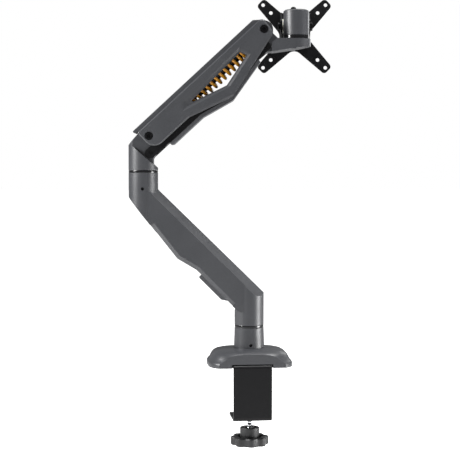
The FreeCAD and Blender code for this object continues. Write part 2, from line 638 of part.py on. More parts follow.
def window_recess():
    """The bevelled recess round the window."""
    return [("57.6", "-6.3", "3"), ("70.2", "5.4", "3"), ("197", "5.2", "3"),
            ("203.5", "-13.6", "3"), ("143", "-29.5", "8")]


def make_upper_channel():
    """The folded channel that carries the spring: a top and two walls."""
    channel = new_body("upper_channel", ARM_FRAME)
    side = [("-panel_heel - 4", "channel_top", "1.5"), ("arm_length - 4", "channel_top", "2"),
            ("arm_length + 9", "11.5", "3"), ("arm_length + panel_end - 3.5", "-12.7", "9"),
            ("belly_u", "-belly_v + 1.5", "12"), ("panel_heel + 55.2", "-panel_belly + 1.5", "16"),
            ("-panel_heel + 1.5", "-panel_belly + 1.5", "17"),
            ("-panel_heel + 1.5", "panel_top + 1"),
            ("-panel_heel - 4", "channel_top - 4", "1.5")]
    pad(channel, outline(sketch_on(channel, "XZ_Plane"), side), "channel_width", symmetric=True)
    inside = [("-40", "channel_top - channel_wall"), ("300", "channel_top - channel_wall"),
              ("300", "-80"), ("-40", "-80")]
    pocket(channel, outline(sketch_on(channel, "XZ_Plane"), inside),
           "channel_width - 2 * channel_wall", symmetric=True)
    pocket(channel, outline(sketch_on(channel, "XZ_Plane"), window_recess()), "60", symmetric=True)
    bores = sketch_on(channel, "XZ_Plane")
    circle(bores, "0", "0", "bolt_diameter / 2")
    circle(bores, "arm_length", "0", "bolt_diameter / 2")
    pocket(channel, bores, "60", symmetric=True)


def make_side_panel(label, side, inner):
    """One side panel: a plate with the window in a recess, and room for the bolt heads."""
    outer = f"{side} * (channel_width / 2 + panel_thickness)"
    panel = new_body(label, ARM_FRAME)
    pad(panel, outline(sketch_on(panel, "XZ_Plane", inner), arm_side()), "panel_thickness")
    recess = outline(sketch_on(panel, "XZ_Plane", outer), window_recess())
    pocket(panel, recess, "panel_thickness / 2", along=side < 0)
    heads = sketch_on(panel, "XZ_Plane", outer)
    for place in ("0", "arm_length"):
        circle(heads, place, "0", "bolt_head / 2 + 0.5")
    pocket(panel, heads, "panel_thickness", along=side < 0)
    pocket(panel, outline(sketch_on(panel, "XZ_Plane"), window_opening()), "60", symmetric=True)


def make_spring_pack():
    """Push rod, spring, guide tube, sliding seat, stop block and adjuster bolt."""
    centre = ARM_FRAME.inverse().multVec(ROD)
    rod_body = new_body("push_rod", ROD_FRAME)
    eye = circle(sketch_on(rod_body, "XZ_Plane"), "0", "0", "5.4")
    pad(rod_body, eye, "7", symmetric=True)
    rise = f"{-SIZES['spring_axis'] - centre.z:.4f}"
    start = f"{SIZES['spring_start'] - centre.x:.4f}"
    bar = [("0", "-4"), ("14", "-4"), ("32", f"{rise} - 4"), (f"{start} - 5", f"{rise} - 4"),
           (f"{start} - 5", f"{rise} + 4"), ("27", f"{rise} + 4"), ("13", "3.4"), ("0", "3.4")]
    pad(rod_body, outline(sketch_on(rod_body, "XZ_Plane"), bar), "7", symmetric=True)
    pad(rod_body, circle(sketch_on(rod_body, "YZ_Plane", f"{start} - 5"), "0", rise,
                         "seat_diameter / 2"), "5")
    pad(rod_body, circle(sketch_on(rod_body, "YZ_Plane", start), "0", rise, "2.5"), "38")
    pocket(rod_body, circle(sketch_on(rod_body, "XZ_Plane"), "0", "0", "rod_pin / 2"), "20",
           symmetric=True)
    low = "-spring_axis"
    seat = new_body("spring_seat", ARM_FRAME)
    pad(seat, circle(sketch_on(seat, "YZ_Plane", "spring_end"), "0", low, "seat_diameter / 2"), "4")
    pocket(seat, circle(sketch_on(seat, "YZ_Plane", "spring_end"), "0", low,
                        "bolt_diameter / 2 + running_gap"), "4", along=True)
    keep(tube("guide_diameter / 2 - 1.5", "guide_diameter / 2", "spring_end - spring_start - 24",
              ("spring_start + 24", "0", low), ALONG_X), "guide_tube", ARM_FRAME)
    block = new_body("spring_block", ARM_FRAME)
    face = [("spring_end + 8", "-11"), ("spring_end + 15", "-11"), ("spring_end + 15", "9"),
            ("spring_end + 8", "9")]
    pad(block, outline(sketch_on(block, "XZ_Plane"), face), "channel_width - 2 * channel_wall",
        symmetric=True)
    pocket(block, circle(sketch_on(block, "YZ_Plane", "spring_end + 6"), "0", low,
                         "bolt_diameter / 2 + running_gap"), "12", along=True)
    shank = rod("bolt_diameter / 2", "30.5", ("spring_end - 8", "0", low), ALONG_X)
    head = rod("6.5", "5", ("spring_end + 22.5", "0", low), ALONG_X)
    socket = hexagon("3.4", "4", ("spring_end + 23.6", "0", low), ALONG_X)
    keep(cut(joined(shank, head), socket), "adjuster_bolt", ARM_FRAME)


def make_spring():
    """The coil spring, swept along a helix, with its ends on the two seats."""
    length = SIZES["spring_end"] - SIZES["spring_start"] - 2 * SIZES["wire_radius"]
    helix = Part.makeHelix(length / SIZES["spring_turns"], length, SIZES["spring_radius"])
    wire = Part.Wire(Part.makeCircle(SIZES["wire_radius"], Vector(SIZES["spring_radius"], 0, 0),
                                     Vector(0, 1, 0)))
    coil = Part.Wire(helix.Edges).makePipeShell([wire], True, True)
    start = Vector(SIZES["spring_start"] + SIZES["wire_radius"], 0, -SIZES["spring_axis"])
    spring = doc.addObject("Part::Feature", "spring")
    spring.Shape = coil
    keep(spring, "spring", ARM_FRAME.multiply(Placement(start, ALONG_X)))


# ---- lower link -----------------------------------------------------------------


def make_lower_link():
    """The channel below, parallel to the upper arm, and its clip-on cover."""
    link = new_body("lower_link", LINK_FRAME)
    r = "link_radius"
    side = [(f"-{r}", f"-{r}", f"{r} - 0.1"), ("30", f"-{r}"), ("37", "-9.6"), ("98", "-9.6"),
            ("150", "-21.6", "8"), ("221", "-7"), (f"arm_length + {r}", f"-{r}", f"{r} - 2"),
            (f"arm_length + {r}", r, f"{r} - 2"), ("215", "4", "20"), ("150", "-8", "20"),
            ("95", "3", "20"), (f"-{r}", r, f"{r} - 0.6")]
    pad(link, outline(sketch_on(link, "XZ_Plane"), side), "link_width", symmetric=True)
    inside = [("-20", "-40"), ("26", "-40"), ("26", f"-{r} + link_wall"), ("98", "-9.6 + link_wall"),
              ("150", "-21.6 + link_wall"), ("218", "-7 + link_wall"), ("218", "-40"),
              ("270", "-40"), ("270", "40"), ("-20", "40")]
    pocket(link, outline(sketch_on(link, "XZ_Plane"), inside), "link_width - 2 * link_wall",
           symmetric=True)
    bores = sketch_on(link, "XZ_Plane")
    circle(bores, "0", "0", "link_pin / 2")
    circle(bores, "arm_length", "0", "link_pin / 2")
    pocket(link, bores, "60", symmetric=True)
    cover = new_body("link_cover", LINK_FRAME)
    strip = [("33", "-9.6"), ("33", "-13"), ("36", "-15.1", "2"), ("98", "-15.1", "16"),
             ("150", "-27.2", "8"), ("221", "-12.2"), ("221", "-7"), ("150", "-21.6"),
             ("98", "-9.6")]
    pad(cover, outline(sketch_on(cover, "XZ_Plane"), strip), "link_width", symmetric=True)


# ---- head -----------------------------------------------------------------------


def make_head_bracket():
    """The level bracket at the arm's tip, with the head's swivel pin."""
    bracket = new_body("head_bracket", TIP_FRAME)
    top = f"(head_top - {ARM_TIP.z:.4f})"
    low = f"({top} - 20.4)"
    wide = [("12", f"{low} + 1.5 * head_slope"), ("head_reach", f"{low} + (head_reach - 10.5) * head_slope"),
            ("head_reach", top), ("20", top), ("12", f"{top} - 6.7")]
    pad(bracket, outline(sketch_on(bracket, "XZ_Plane"), wide), "2 * head_radius", symmetric=True)
    pad(bracket, circle(sketch_on(bracket, "XY_Plane", f"{top} - 16"), "head_reach", "0",
                        "head_radius"), "16")
    under = [("head_reach - 1", f"{low} + (head_reach - 11.5) * head_slope"),
             ("head_reach + 30", f"{low} + (head_reach + 19.5) * head_slope"),
             ("head_reach + 30", f"{low} - 6"), ("head_reach - 1", f"{low} - 6")]
    pocket(bracket, outline(sketch_on(bracket, "XZ_Plane"), under), "60", symmetric=True)
    tongue = [("-14", "14", "13.9"), ("14", "14", "13.9"), ("14", "-6"), ("22", "-13.6"),
              ("22", f"{low} + 1"), ("10", f"{low} + 0.2"), ("-7.4", "-link_drop - 9", "8"),
              ("-7.4", "-12.5", "3"), ("-14", "-6", "3")]
    pad(bracket, outline(sketch_on(bracket, "XZ_Plane"), tongue), "tongue_width", symmetric=True)
    bores = sketch_on(bracket, "XZ_Plane")
    circle(bores, "0", "0", "lift_bush / 2")
    circle(bores, "link_shift", "-link_drop", "link_pin / 2")
    pocket(bracket, bores, "60", symmetric=True)
    pocket(bracket, circle(sketch_on(bracket, "XY_Plane", top), "head_reach", "0", "7"), "10")


def make_head():
    """Swivel pin, bush, washer, tilt housing with its cap, and the small stop screw."""
    keep(rod("7", "housing_top - head_top + 9", ("0", "0", "head_top - 10")), "head_pin", HEAD_FRAME)
    keep(tube("7 + running_gap", "9", "housing_top - housing_start - 1.5",
              ("0", "0", "housing_start")), "head_bush", HEAD_FRAME)
    washer("head_washer", HEAD_FRAME, "head_top", "housing_diameter / 2 + 0.4", "7.4",
           "housing_start - head_top - washer_gap")
    housing = new_body("tilt_housing", HEAD_FRAME)
    pad(housing, circle(sketch_on(housing, "XY_Plane", "housing_start"), "0", "0",
                        "housing_diameter / 2"), "housing_top - housing_start")
    neck = [("8", "tilt_z - 13"), ("tilt_y + 13", "tilt_z - 13", "12.9"),
            ("tilt_y + 13", "tilt_z + 13", "12.9"), ("8", "tilt_z + 13")]
    pad(housing, outline(sketch_on(housing, "YZ_Plane"), neck), "neck_width", symmetric=True)
    pocket(housing, circle(sketch_on(housing, "XY_Plane", "housing_start"), "0", "0", "9"), "60",
           along=True)
    pocket(housing, circle(sketch_on(housing, "YZ_Plane"), "tilt_y", "tilt_z",
                           "bolt_diameter / 2 + running_gap"), "60", symmetric=True)
    pocket(housing, circle(sketch_on(housing, "XY_Plane", "housing_top"), "-5", "-12", "2"), "8")
    revolve("head_cap", [("0", "housing_top"), ("housing_diameter / 2 - 1", "housing_top"),
                         ("housing_diameter / 2 - 1", "housing_top + 1"),
                         ("housing_diameter / 2 - 3", "housing_top + 2.2"),
                         ("0", "housing_top + 2.6")], HEAD_FRAME)
    cap = doc.getObject("head_cap")
    pocket(cap, circle(sketch_on(cap, "XY_Plane", "housing_top"), "-5", "-12", "2"), "8", along=True)
    revolve("stop_screw", [
        ("0", "housing_top - 7"), ("2", "housing_top - 7"), ("2", "housing_top + 2.6"),
        ("4.4", "housing_top + 2.6"), ("3.6", "housing_top + 4.6"), ("1.6", "housing_top + 5.6"),
        ("0", "housing_top + 5.6")],
        Placement(Vector(HEAD.x - 5, -12, 0), UPRIGHT))


def make_tilt():
    """The tilt yoke, its bolt and washers, and the plate's turning bearing."""
    yoke = new_body("tilt_yoke", HEAD_FRAME)
    back = "yoke_back"
    ear = [(back, "yoke_low"), (back, "yoke_high"), ("46", "yoke_high", "3"),
           ("20", "tilt_z + 9", "7"), ("20", "tilt_z - 9", "7"), ("46", "yoke_low", "3")]
    pad(yoke, outline(sketch_on(yoke, "YZ_Plane"), ear), "yoke_width", symmetric=True)
    inner = [("0", "yoke_low - 5"), (f"{back} - yoke_plate", "yoke_low - 5"),
             (f"{back} - yoke_plate", "yoke_high + 5"), ("0", "yoke_high + 5")]
    pocket(yoke, outline(sketch_on(yoke, "YZ_Plane"), inner), "yoke_width - 2 * ear_thickness",
           symmetric=True)
    pocket(yoke, circle(sketch_on(yoke, "YZ_Plane"), "tilt_y", "tilt_z", "bolt_diameter / 2"), "60",
           symmetric=True)
    pocket(yoke, circle(sketch_on(yoke, "XZ_Plane", "-70"), "0", "vesa_z",
                        "bolt_diameter / 2 + running_gap"), "40", along=True)
    half = "yoke_width / 2"
    shank = rod("bolt_diameter / 2", "yoke_width", (f"-{half}", "0", "0"), ALONG_X)
    left = rod("6.5", "4", (f"-{half} - 4", "0", "0"), ALONG_X)
    right = hexagon("7.2", "4", (half, "0", "0"), ALONG_X)
    socket = hexagon("3.4", "2.5", (f"-{half} - 4", "0", "0"), ALONG_X)
    tilt_frame = Placement(Vector(HEAD.x, SIZES["tilt_y"], SIZES["tilt_z"]), UPRIGHT)
    keep(cut(joined(shank, left, right), socket), "tilt_bolt", tilt_frame)
    gap = "yoke_width / 2 - ear_thickness - neck_width / 2 - washer_gap"
    near = tube("bolt_diameter / 2", "11", gap, ("neck_width / 2 + washer_gap", "0", "0"), ALONG_X)
    far = tube("bolt_diameter / 2", "11", gap, ("-yoke_width / 2 + ear_thickness", "0", "0"),
               ALONG_X)
    keep(group(near, far), "tilt_washers", tilt_frame)
    keep(tube("bolt_diameter / 2 + 0.4", "20", "vesa_face - vesa_thickness - 1.2 - yoke_back - 0.1",
              ("0", "yoke_back", "0"), ALONG_Y), "plate_washer", VESA_FRAME)
    bolt = rod("bolt_diameter / 2", "17.5", ("0", "vesa_face - 17.5", "0"), ALONG_Y)
    head = rod("7", "1.5", ("0", "vesa_face - 1.5", "0"), ALONG_Y)
    key = hexagon("2.9", "2.4", ("0", "vesa_face - 2.4", "0"), ALONG_Y)
    keep(cut(joined(bolt, head), key), "plate_bolt", VESA_FRAME)
    nut = cut(hexagon("7", "4.5", ("0", "yoke_back - yoke_plate - 4.6", "0"), ALONG_Y),
              rod("bolt_diameter / 2", "8", ("0", "yoke_back - yoke_plate - 6", "0"), ALONG_Y))
    keep(nut, "plate_nut", VESA_FRAME)


def cross_outline(near, far, tip_radius):
    """The plate's X outline: two corners at each arm's tip and one between arms."""
    return [(near, far, tip_radius), ("0", "vesa_waist", "14"),
            (f"-{near}", far, tip_radius), (f"-{far}", near, tip_radius),
            ("-vesa_waist", "0", "14"),
            (f"-{far}", f"-{near}", tip_radius), (f"-{near}", f"-{far}", tip_radius),
            ("0", "-vesa_waist", "14"),
            (near, f"-{far}", tip_radius), (far, f"-{near}", tip_radius),
            ("vesa_waist", "0", "14"), (far, near, tip_radius)]


def make_vesa_plate():
    """The X-shaped plate with both standard screw patterns and a raised middle."""
    plate = new_body("vesa_plate", VESA_FRAME)
    pad(plate, outline(sketch_on(plate, "XZ_Plane", "-vesa_face"),
                       cross_outline("vesa_near", "vesa_far", "5.5")), "vesa_thickness")
    pad(plate, outline(sketch_on(plate, "XZ_Plane", "-vesa_face + vesa_thickness"),
                       cross_outline("25.2", "40", "2")), "1.2")
    holes = sketch_on(plate, "XZ_Plane", "-vesa_face")
    for spacing in ("vesa_large / 2", "vesa_small / 2"):
        for x, z in corners_of(spacing, spacing):
            circle(holes, x, z, "vesa_hole / 2")
    circle(holes, "0", "0", "bolt_diameter / 2 + 0.01")
    pocket(plate, holes, "20", along=True)
    head = circle(sketch_on(plate, "XZ_Plane", "-vesa_face"), "0", "0", "7.02")
    pocket(plate, head, "1.5", along=True)


# ---- the whole arm --------------------------------------------------------------

make_base_cover()
make_base_plate()
make_base_pad()
make_post()
make_base_screws()
make_bracket()
make_clamp()
swivel_pin("lower_pin", BASE_FRAME, "bore_floor + 1", "lower_start + 38", "post_set_screw_z")
swivel_bush("post_bush", BASE_FRAME, "bore_floor", "post_top", "post_set_screw_z")
set_screw("post_set_screw", BASE_FRAME, "post_set_screw_z")
washer("base_washer", BASE_FRAME, "post_top", "tube_diameter / 2 - 0.2", "pin_diameter / 2 + 0.4",
       "washer_height - washer_gap")
make_lower_arm()
make_cable_clip()
swivel_bush("elbow_bush", ELBOW_FRAME, "elbow_top - elbow_bore", "elbow_top", "elbow_set_screw_z")
set_screw("elbow_set_screw", ELBOW_FRAME, "elbow_set_screw_z")
washer("elbow_washer", ELBOW_FRAME, "elbow_top", "tube_diameter / 2 - 0.2",
       "pin_diameter / 2 + 0.4", "washer_height")
make_knuckle()
swivel_pin("elbow_pin", ELBOW_FRAME, "elbow_top - elbow_bore + 1", "knuckle_start + 21",
           "elbow_set_screw_z")
make_lift_pivots()
make_upper_channel()
make_side_panel("side_panel_front", 1, "channel_width / 2")
make_side_panel("side_panel_rear", -1, "-channel_width / 2 - panel_thickness")
make_spring_pack()
make_spring()
make_lower_link()
make_head_bracket()
make_head()
make_tilt()
make_vesa_plate()

doc.recompute()
for item in doc.Objects:
    if "Invalid" in item.State or "Error" in item.State:
        raise RuntimeError(f"{item.Label} failed: {item.State}")
for item in sub_parts:
    if item.Shape.isNull() or not item.Shape.isValid():
        raise RuntimeError(f"{item.Label} has no valid shape")

os.makedirs("parts", exist_ok=True)
for item in sub_parts:
    item.Shape.exportStep(f"parts/{item.Label}.step")
print(len(sub_parts), "sub-parts")
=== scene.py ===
import json
import math

import bmesh
import bpy
from bpy.props import FloatProperty, IntProperty, PointerProperty, StringProperty
from mathutils import Matrix, Vector


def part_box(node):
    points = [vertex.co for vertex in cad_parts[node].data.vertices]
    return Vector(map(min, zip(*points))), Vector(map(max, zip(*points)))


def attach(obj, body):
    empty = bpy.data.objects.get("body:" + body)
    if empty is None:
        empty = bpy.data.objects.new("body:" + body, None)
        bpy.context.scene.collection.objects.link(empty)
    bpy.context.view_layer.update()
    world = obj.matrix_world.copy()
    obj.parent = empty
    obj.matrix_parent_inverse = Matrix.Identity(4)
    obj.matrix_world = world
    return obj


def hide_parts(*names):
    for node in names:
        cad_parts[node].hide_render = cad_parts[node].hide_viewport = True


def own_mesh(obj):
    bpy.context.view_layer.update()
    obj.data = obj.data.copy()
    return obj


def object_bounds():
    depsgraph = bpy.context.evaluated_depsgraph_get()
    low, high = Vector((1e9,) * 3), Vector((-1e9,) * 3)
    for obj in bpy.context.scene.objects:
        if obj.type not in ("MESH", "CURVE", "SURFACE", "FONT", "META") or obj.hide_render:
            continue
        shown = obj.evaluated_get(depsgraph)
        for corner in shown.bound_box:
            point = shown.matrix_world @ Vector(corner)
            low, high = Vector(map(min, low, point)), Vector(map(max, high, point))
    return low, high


bl_info = {
    "name": "Desk Monitor Arm",
    "version": (1, 0, 0),
    "blender": (4, 5, 0),
    "location": "View3D > Sidebar > Monitor Arm",
    "description": "Finishes a desk monitor arm around its packed frame",
    "category": "Object",
}

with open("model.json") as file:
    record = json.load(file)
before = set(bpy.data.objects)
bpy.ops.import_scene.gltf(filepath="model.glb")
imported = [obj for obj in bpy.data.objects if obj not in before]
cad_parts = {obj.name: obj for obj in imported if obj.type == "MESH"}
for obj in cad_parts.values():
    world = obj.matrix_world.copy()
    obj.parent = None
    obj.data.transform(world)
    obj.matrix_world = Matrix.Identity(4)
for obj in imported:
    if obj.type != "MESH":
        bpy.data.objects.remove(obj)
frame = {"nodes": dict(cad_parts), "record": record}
CAD_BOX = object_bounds()
RECORD = frame["record"]
BODY_OF = {node: body for body, nodes in RECORD["behaviour"]["bodies"].items() for node in nodes}
SLOT_OF = {part["node"]: part["material_slot"] for part in RECORD["subparts"]}
PIVOT = {joint["name"]: Vector(joint.get("pos_m", (0, 0, 0))) for joint in RECORD["behaviour"]["joints"]}

MM = 0.001
MERGE = 2e-6               # metres: loose triangles' corners closer than this are one
FLAT = math.radians(0.6)   # neighbouring triangles flatter than this are one face
CREASE = math.radians(32)  # sharper than this is an edge, flatter is a rounded wall
MOST_ROUNDED_OFF = 0.05    # share of its volume that rounding may change; more means a broken round
CUT_SPARE = 1.02           # a cut may take this much of its cutter's volume, for rounding errors

# The upper arm's own frame: X along the arm from the lift pivot, Z square to it, upwards.
ALONG = (PIVOT["head_level"] - PIVOT["lift"]).normalized()
ARM_ANGLE = math.atan2(ALONG.z, ALONG.x)
ARM_FRAME = Matrix.Translation(PIVOT["lift"]) @ Matrix.Rotation(-ARM_ANGLE, 4, "Y")
ARM_LENGTH = (PIVOT["head_level"] - PIVOT["lift"]).length
BASE_YAW = math.radians(6)
BASE_FRAME = Matrix.Rotation(BASE_YAW, 4, "Z")
CLAMP_FRAME = Matrix.Translation(Vector((PIVOT["clamp_turn"].x, PIVOT["clamp_turn"].y, 0))) @ BASE_FRAME


# ---- settings ---------------------------------------------------------------------


class ArmSizes(bpy.types.PropertyGroup):
    """Sizes that a user would change without touching the frame."""
    edge: FloatProperty(name="Edge round", description="Round on a casting's edges",
                        default=0.0007, unit="LENGTH")
    fine_edge: FloatProperty(name="Fine edge round", description="Round on screws and plates",
                             default=0.0003, unit="LENGTH")
    arm_bevel: FloatProperty(name="Lower arm bevel", description="Bevel under the lower arm",
                             default=0.0062, unit="LENGTH")
    spring_turns: IntProperty(name="Spring turns", description="Turns of the lift spring", default=13)
    spring_radius: FloatProperty(name="Spring radius", description="Middle of the spring's wire",
                                 default=0.0123, unit="LENGTH")
    wire_radius: FloatProperty(name="Wire radius", description="Radius of the spring's wire",
                               default=0.0023, unit="LENGTH")
    thread_pitch: FloatProperty(name="Thread pitch", description="Pitch of the clamp's screw",
                                default=0.00125, unit="LENGTH")
    lobes: IntProperty(name="Knob lobes", description="Finger lobes round the knob", default=8)


class ArmColours(bpy.types.PropertyGroup):
    """Colours as sRGB hex values."""
    casting: StringProperty(name="Casting", description="Textured grey paint", default="#343538")
    black: StringProperty(name="Black paint", description="Satin black paint", default="#08080A")
    plastic: StringProperty(name="Grey plastic", description="Moulded covers", default="#3F4043")
    knob: StringProperty(name="Knob", description="Moulded black plastic", default="#101012")
    ring: StringProperty(name="Rings", description="Polished black rings", default="#0C0C0E")
    spring: StringProperty(name="Spring", description="Spring enamel", default="#F0A51E")
    chrome: StringProperty(name="Chrome", description="Plated clamp screw", default="#DADBDD")
    steel: StringProperty(name="Steel", description="Ground pins", default="#B9BABC")
    nylon: StringProperty(name="Nylon", description="Bushes", default="#D9D5C8")
    rubber: StringProperty(name="Rubber", description="Pads", default="#1E1E1F")
    floor: StringProperty(name="Floor", description="Studio floor", default="#F4F4F4")


def sizes():
    return bpy.context.scene.arm_sizes


def colours():
    return bpy.context.scene.arm_colours


# ---- materials --------------------------------------------------------------------


def linear(code):
    """An sRGB hex colour as linear RGBA."""
    channels = [int(code[place:place + 2], 16) / 255 for place in (1, 3, 5)]
    return [c / 12.92 if c <= 0.04045 else ((c + 0.055) / 1.055) ** 2.4 for c in channels] + [1.0]


def add_node(tree, kind, inputs=None, **settings):
    """Adds a node. Settings are its properties; inputs are values, or sockets to link from."""
    item = tree.nodes.new(kind)
    for name, value in settings.items():
        setattr(item, name, value)
    for name, value in (inputs or {}).items():
        if isinstance(value, bpy.types.NodeSocket):
            tree.links.new(value, item.inputs[name])
        else:
            item.inputs[name].default_value = value
    return item


def new_material(name, colour, **shader_inputs):
    """A material with one shader, whose even values stand on the shader's own sockets."""
    material = bpy.data.materials.new(name)
    material.use_nodes = True
    material.diffuse_color = linear(colour)
    tree = material.node_tree
    tree.nodes.clear()
    shader = add_node(tree, "ShaderNodeBsdfPrincipled", {"Base Color": linear(colour), **shader_inputs})
    output = add_node(tree, "ShaderNodeOutputMaterial")
    tree.links.new(shader.outputs["BSDF"], output.inputs["Surface"])
    return material, tree, shader


def grain(tree, size_mm, detail=2.0, stretch=(1, 1, 1)):
    """Noise whose grains are about size_mm across, stretched along an axis for brushed metal."""
    place = add_node(tree, "ShaderNodeTexCoord")
    turned = add_node(tree, "ShaderNodeMapping", {"Vector": place.outputs["Object"], "Scale": stretch})
    return add_node(tree, "ShaderNodeTexNoise", {"Vector": turned.outputs["Vector"],
                                                 "Scale": 1 / (size_mm * MM), "Detail": detail})


def between(tree, noise, low, high):
    """The noise's usual span, spread from low to high."""
    return add_node(tree, "ShaderNodeMapRange", {
        "Value": noise.outputs["Fac"], "From Min": 0.3, "From Max": 0.7, "To Min": low, "To Max": high})


def shaded(tree, noise, code, darker, lighter):
    """The colour, made darker and lighter by the noise."""
    amounts = between(tree, noise, darker, lighter)
    base = add_node(tree, "ShaderNodeRGB")
    base.outputs[0].default_value = linear(code)
    return add_node(tree, "ShaderNodeVectorMath", {0: base.outputs[0], "Scale": amounts.outputs["Result"]},
                    operation="SCALE")


def raised(tree, noise, depth_mm, strength):
    """A bump from the noise, depth_mm high."""
    return add_node(tree, "ShaderNodeBump", {"Height": noise.outputs["Fac"], "Distance": depth_mm * MM,
                                             "Strength": strength})


def textured_powder_coat():
    """Fine-texture powder coat over cast aluminium: a sandy, half-matt grey skin."""
    material, tree, shader = new_material("textured_powder_coat", colours().casting, **{
        "IOR": 1.5})
    # The real texture is about 0.3 mm; 0.7 mm is the finest that still shows.
    texture = grain(tree, 0.7, 3.0)
    drift = grain(tree, 40, 1.0)
    colour = shaded(tree, texture, colours().casting, 0.86, 1.16)
    tree.links.new(colour.outputs[0], shader.inputs["Base Color"])
    tree.links.new(between(tree, drift, 0.36, 0.44).outputs[0], shader.inputs["Roughness"])
    tree.links.new(raised(tree, texture, 0.12, 0.55).outputs[0], shader.inputs["Normal"])
    return material


def satin_black_paint():
    """Satin black powder coat on bent steel: even, with a soft broad shine."""
    material, tree, shader = new_material("satin_black_paint", colours().black, **{
        "IOR": 1.5, "Specular IOR Level": 0.2})
    texture = grain(tree, 0.9, 2.0)
    tree.links.new(shaded(tree, texture, colours().black, 0.9, 1.1).outputs[0], shader.inputs["Base Color"])
    tree.links.new(between(tree, grain(tree, 30, 1.0), 0.4, 0.5).outputs[0], shader.inputs["Roughness"])
    tree.links.new(raised(tree, texture, 0.05, 0.35).outputs[0], shader.inputs["Normal"])
    return material


def moulded_abs(name, code, rough_low, rough_high, grain_mm):
    """Moulded ABS with a spark-eroded grain: dull, with a fine leathery break-up."""
    material, tree, shader = new_material(name, code, **{"IOR": 1.54})
    texture = grain(tree, grain_mm, 3.0)
    tree.links.new(shaded(tree, texture, code, 0.92, 1.08).outputs[0], shader.inputs["Base Color"])
    tree.links.new(between(tree, grain(tree, 18, 2.0), rough_low, rough_high).outputs[0],
                   shader.inputs["Roughness"])
    tree.links.new(raised(tree, texture, 0.08, 0.4).outputs[0], shader.inputs["Normal"])
    return material


def polished_acetal():
    """Polished black acetal rings: dark and glossy, with faint turning marks."""
    material, tree, shader = new_material("polished_acetal", colours().ring, **{"IOR": 1.48})
    marks = grain(tree, 2.0, 2.0, (0.05, 0.05, 6))
    tree.links.new(between(tree, marks, 0.12, 0.24).outputs[0], shader.inputs["Roughness"])
    return material


def spring_enamel():
    """Orange enamel on spring wire: glossy, a little thicker and darker here and there."""
    material, tree, shader = new_material("spring_enamel", colours().spring, **{
        "IOR": 1.52, "Coat Weight": 0.4, "Coat Roughness": 0.12})
    tree.links.new(shaded(tree, grain(tree, 5, 2.0), colours().spring, 0.82, 1.08).outputs[0],
                   shader.inputs["Base Color"])
    tree.links.new(between(tree, grain(tree, 3, 2.0), 0.28, 0.42).outputs[0], shader.inputs["Roughness"])
    return material


def bright_chrome():
    """Bright chrome plate on the clamp's screw: a mirror with a faint bloom of handling."""
    material, tree, shader = new_material("bright_chrome", colours().chrome, **{"Metallic": 1.0})
    tree.links.new(between(tree, grain(tree, 6, 3.0), 0.1, 0.2).outputs[0], shader.inputs["Roughness"])
    return material


def black_oxide_steel():
    """Oil-blackened steel screws: near black, softly metallic, smoother in some places and rougher in others.
    """
    material, tree, shader = new_material("black_oxide_steel", colours().knob, **{"Metallic": 0.7})
    tree.links.new(between(tree, grain(tree, 1.5, 3.0), 0.3, 0.46).outputs[0], shader.inputs["Roughness"])
    tree.links.new(raised(tree, grain(tree, 0.6, 2.0), 0.03, 0.3).outputs[0], shader.inputs["Normal"])
    return material


def ground_steel():
    """Ground steel pins: bright, with fine marks round the pin."""
    material, tree, shader = new_material("ground_steel", colours().steel, **{"Metallic": 1.0})
    marks = grain(tree, 1.2, 2.0, (0.1, 1, 4))
    tree.links.new(between(tree, marks, 0.2, 0.36).outputs[0], shader.inputs["Roughness"])
    return material


def moulded_nylon():
    """Natural nylon bushes: waxy, off-white, letting a little light in."""
    material, tree, shader = new_material("moulded_nylon", colours().nylon, **{
        "IOR": 1.53, "Subsurface Weight": 0.08})
    tree.links.new(between(tree, grain(tree, 4, 2.0), 0.38, 0.5).outputs[0], shader.inputs["Roughness"])
    return material


def moulded_rubber():
    """Black rubber pads: matt, with a fine cloth-like tooth."""
    material, tree, shader = new_material("moulded_rubber", colours().rubber, **{"IOR": 1.52})
    texture = grain(tree, 1.0, 2.0)
    tree.links.new(between(tree, texture, 0.7, 0.88).outputs[0], shader.inputs["Roughness"])
    tree.links.new(raised(tree, texture, 0.15, 0.5).outputs[0], shader.inputs["Normal"])
    return material


FINISHES = {
    "textured_paint": textured_powder_coat,
    "black_paint": satin_black_paint,
    "dark_plastic": lambda: moulded_abs("moulded_abs_grey", colours().plastic, 0.42, 0.54, 0.8),
    "black_plastic": lambda: moulded_abs("moulded_abs_black", colours().knob, 0.4, 0.55, 0.9),
    "gloss_ring": polished_acetal,
    "nylon": moulded_nylon,
    "bright_chrome": bright_chrome,
    "blackened_steel": black_oxide_steel,
    "ground_steel": ground_steel,
    "spring_paint": spring_enamel,
    "black_rubber": moulded_rubber,
}
MATERIALS = {}


def finish(slot):
    """The material of a slot, made once."""
    if slot not in MATERIALS:
        MATERIALS[slot] = FINISHES[slot]()
    return MATERIALS[slot]


# ---- meshes -----------------------------------------------------------------------


def node_copy(node):
    """A node's mesh, with its flat faces in even triangles."""
    shape = bmesh.new()
    shape.from_mesh(frame["nodes"][node].data)
    bmesh.ops.remove_doubles(shape, verts=shape.verts, dist=MERGE)
    return evened(shape)


def evened(shape):
    """Joins flat neighbours into faces and cuts them into even triangles again."""
    bmesh.ops.dissolve_limit(shape, angle_limit=FLAT, verts=shape.verts, edges=shape.edges)
    shape.normal_update()
    bmesh.ops.triangulate(shape, faces=shape.faces, ngon_method="BEAUTY")
    return shape


def volume_and_gaps(piece):
    """A piece's volume, and how many of its edges aren't shared by two faces."""
    shape = bmesh.new()
    shape.from_mesh(piece.data)
    found = shape.calc_volume(), sum(1 for edge in shape.edges if len(edge.link_faces) != 2)
    shape.free()
    return found


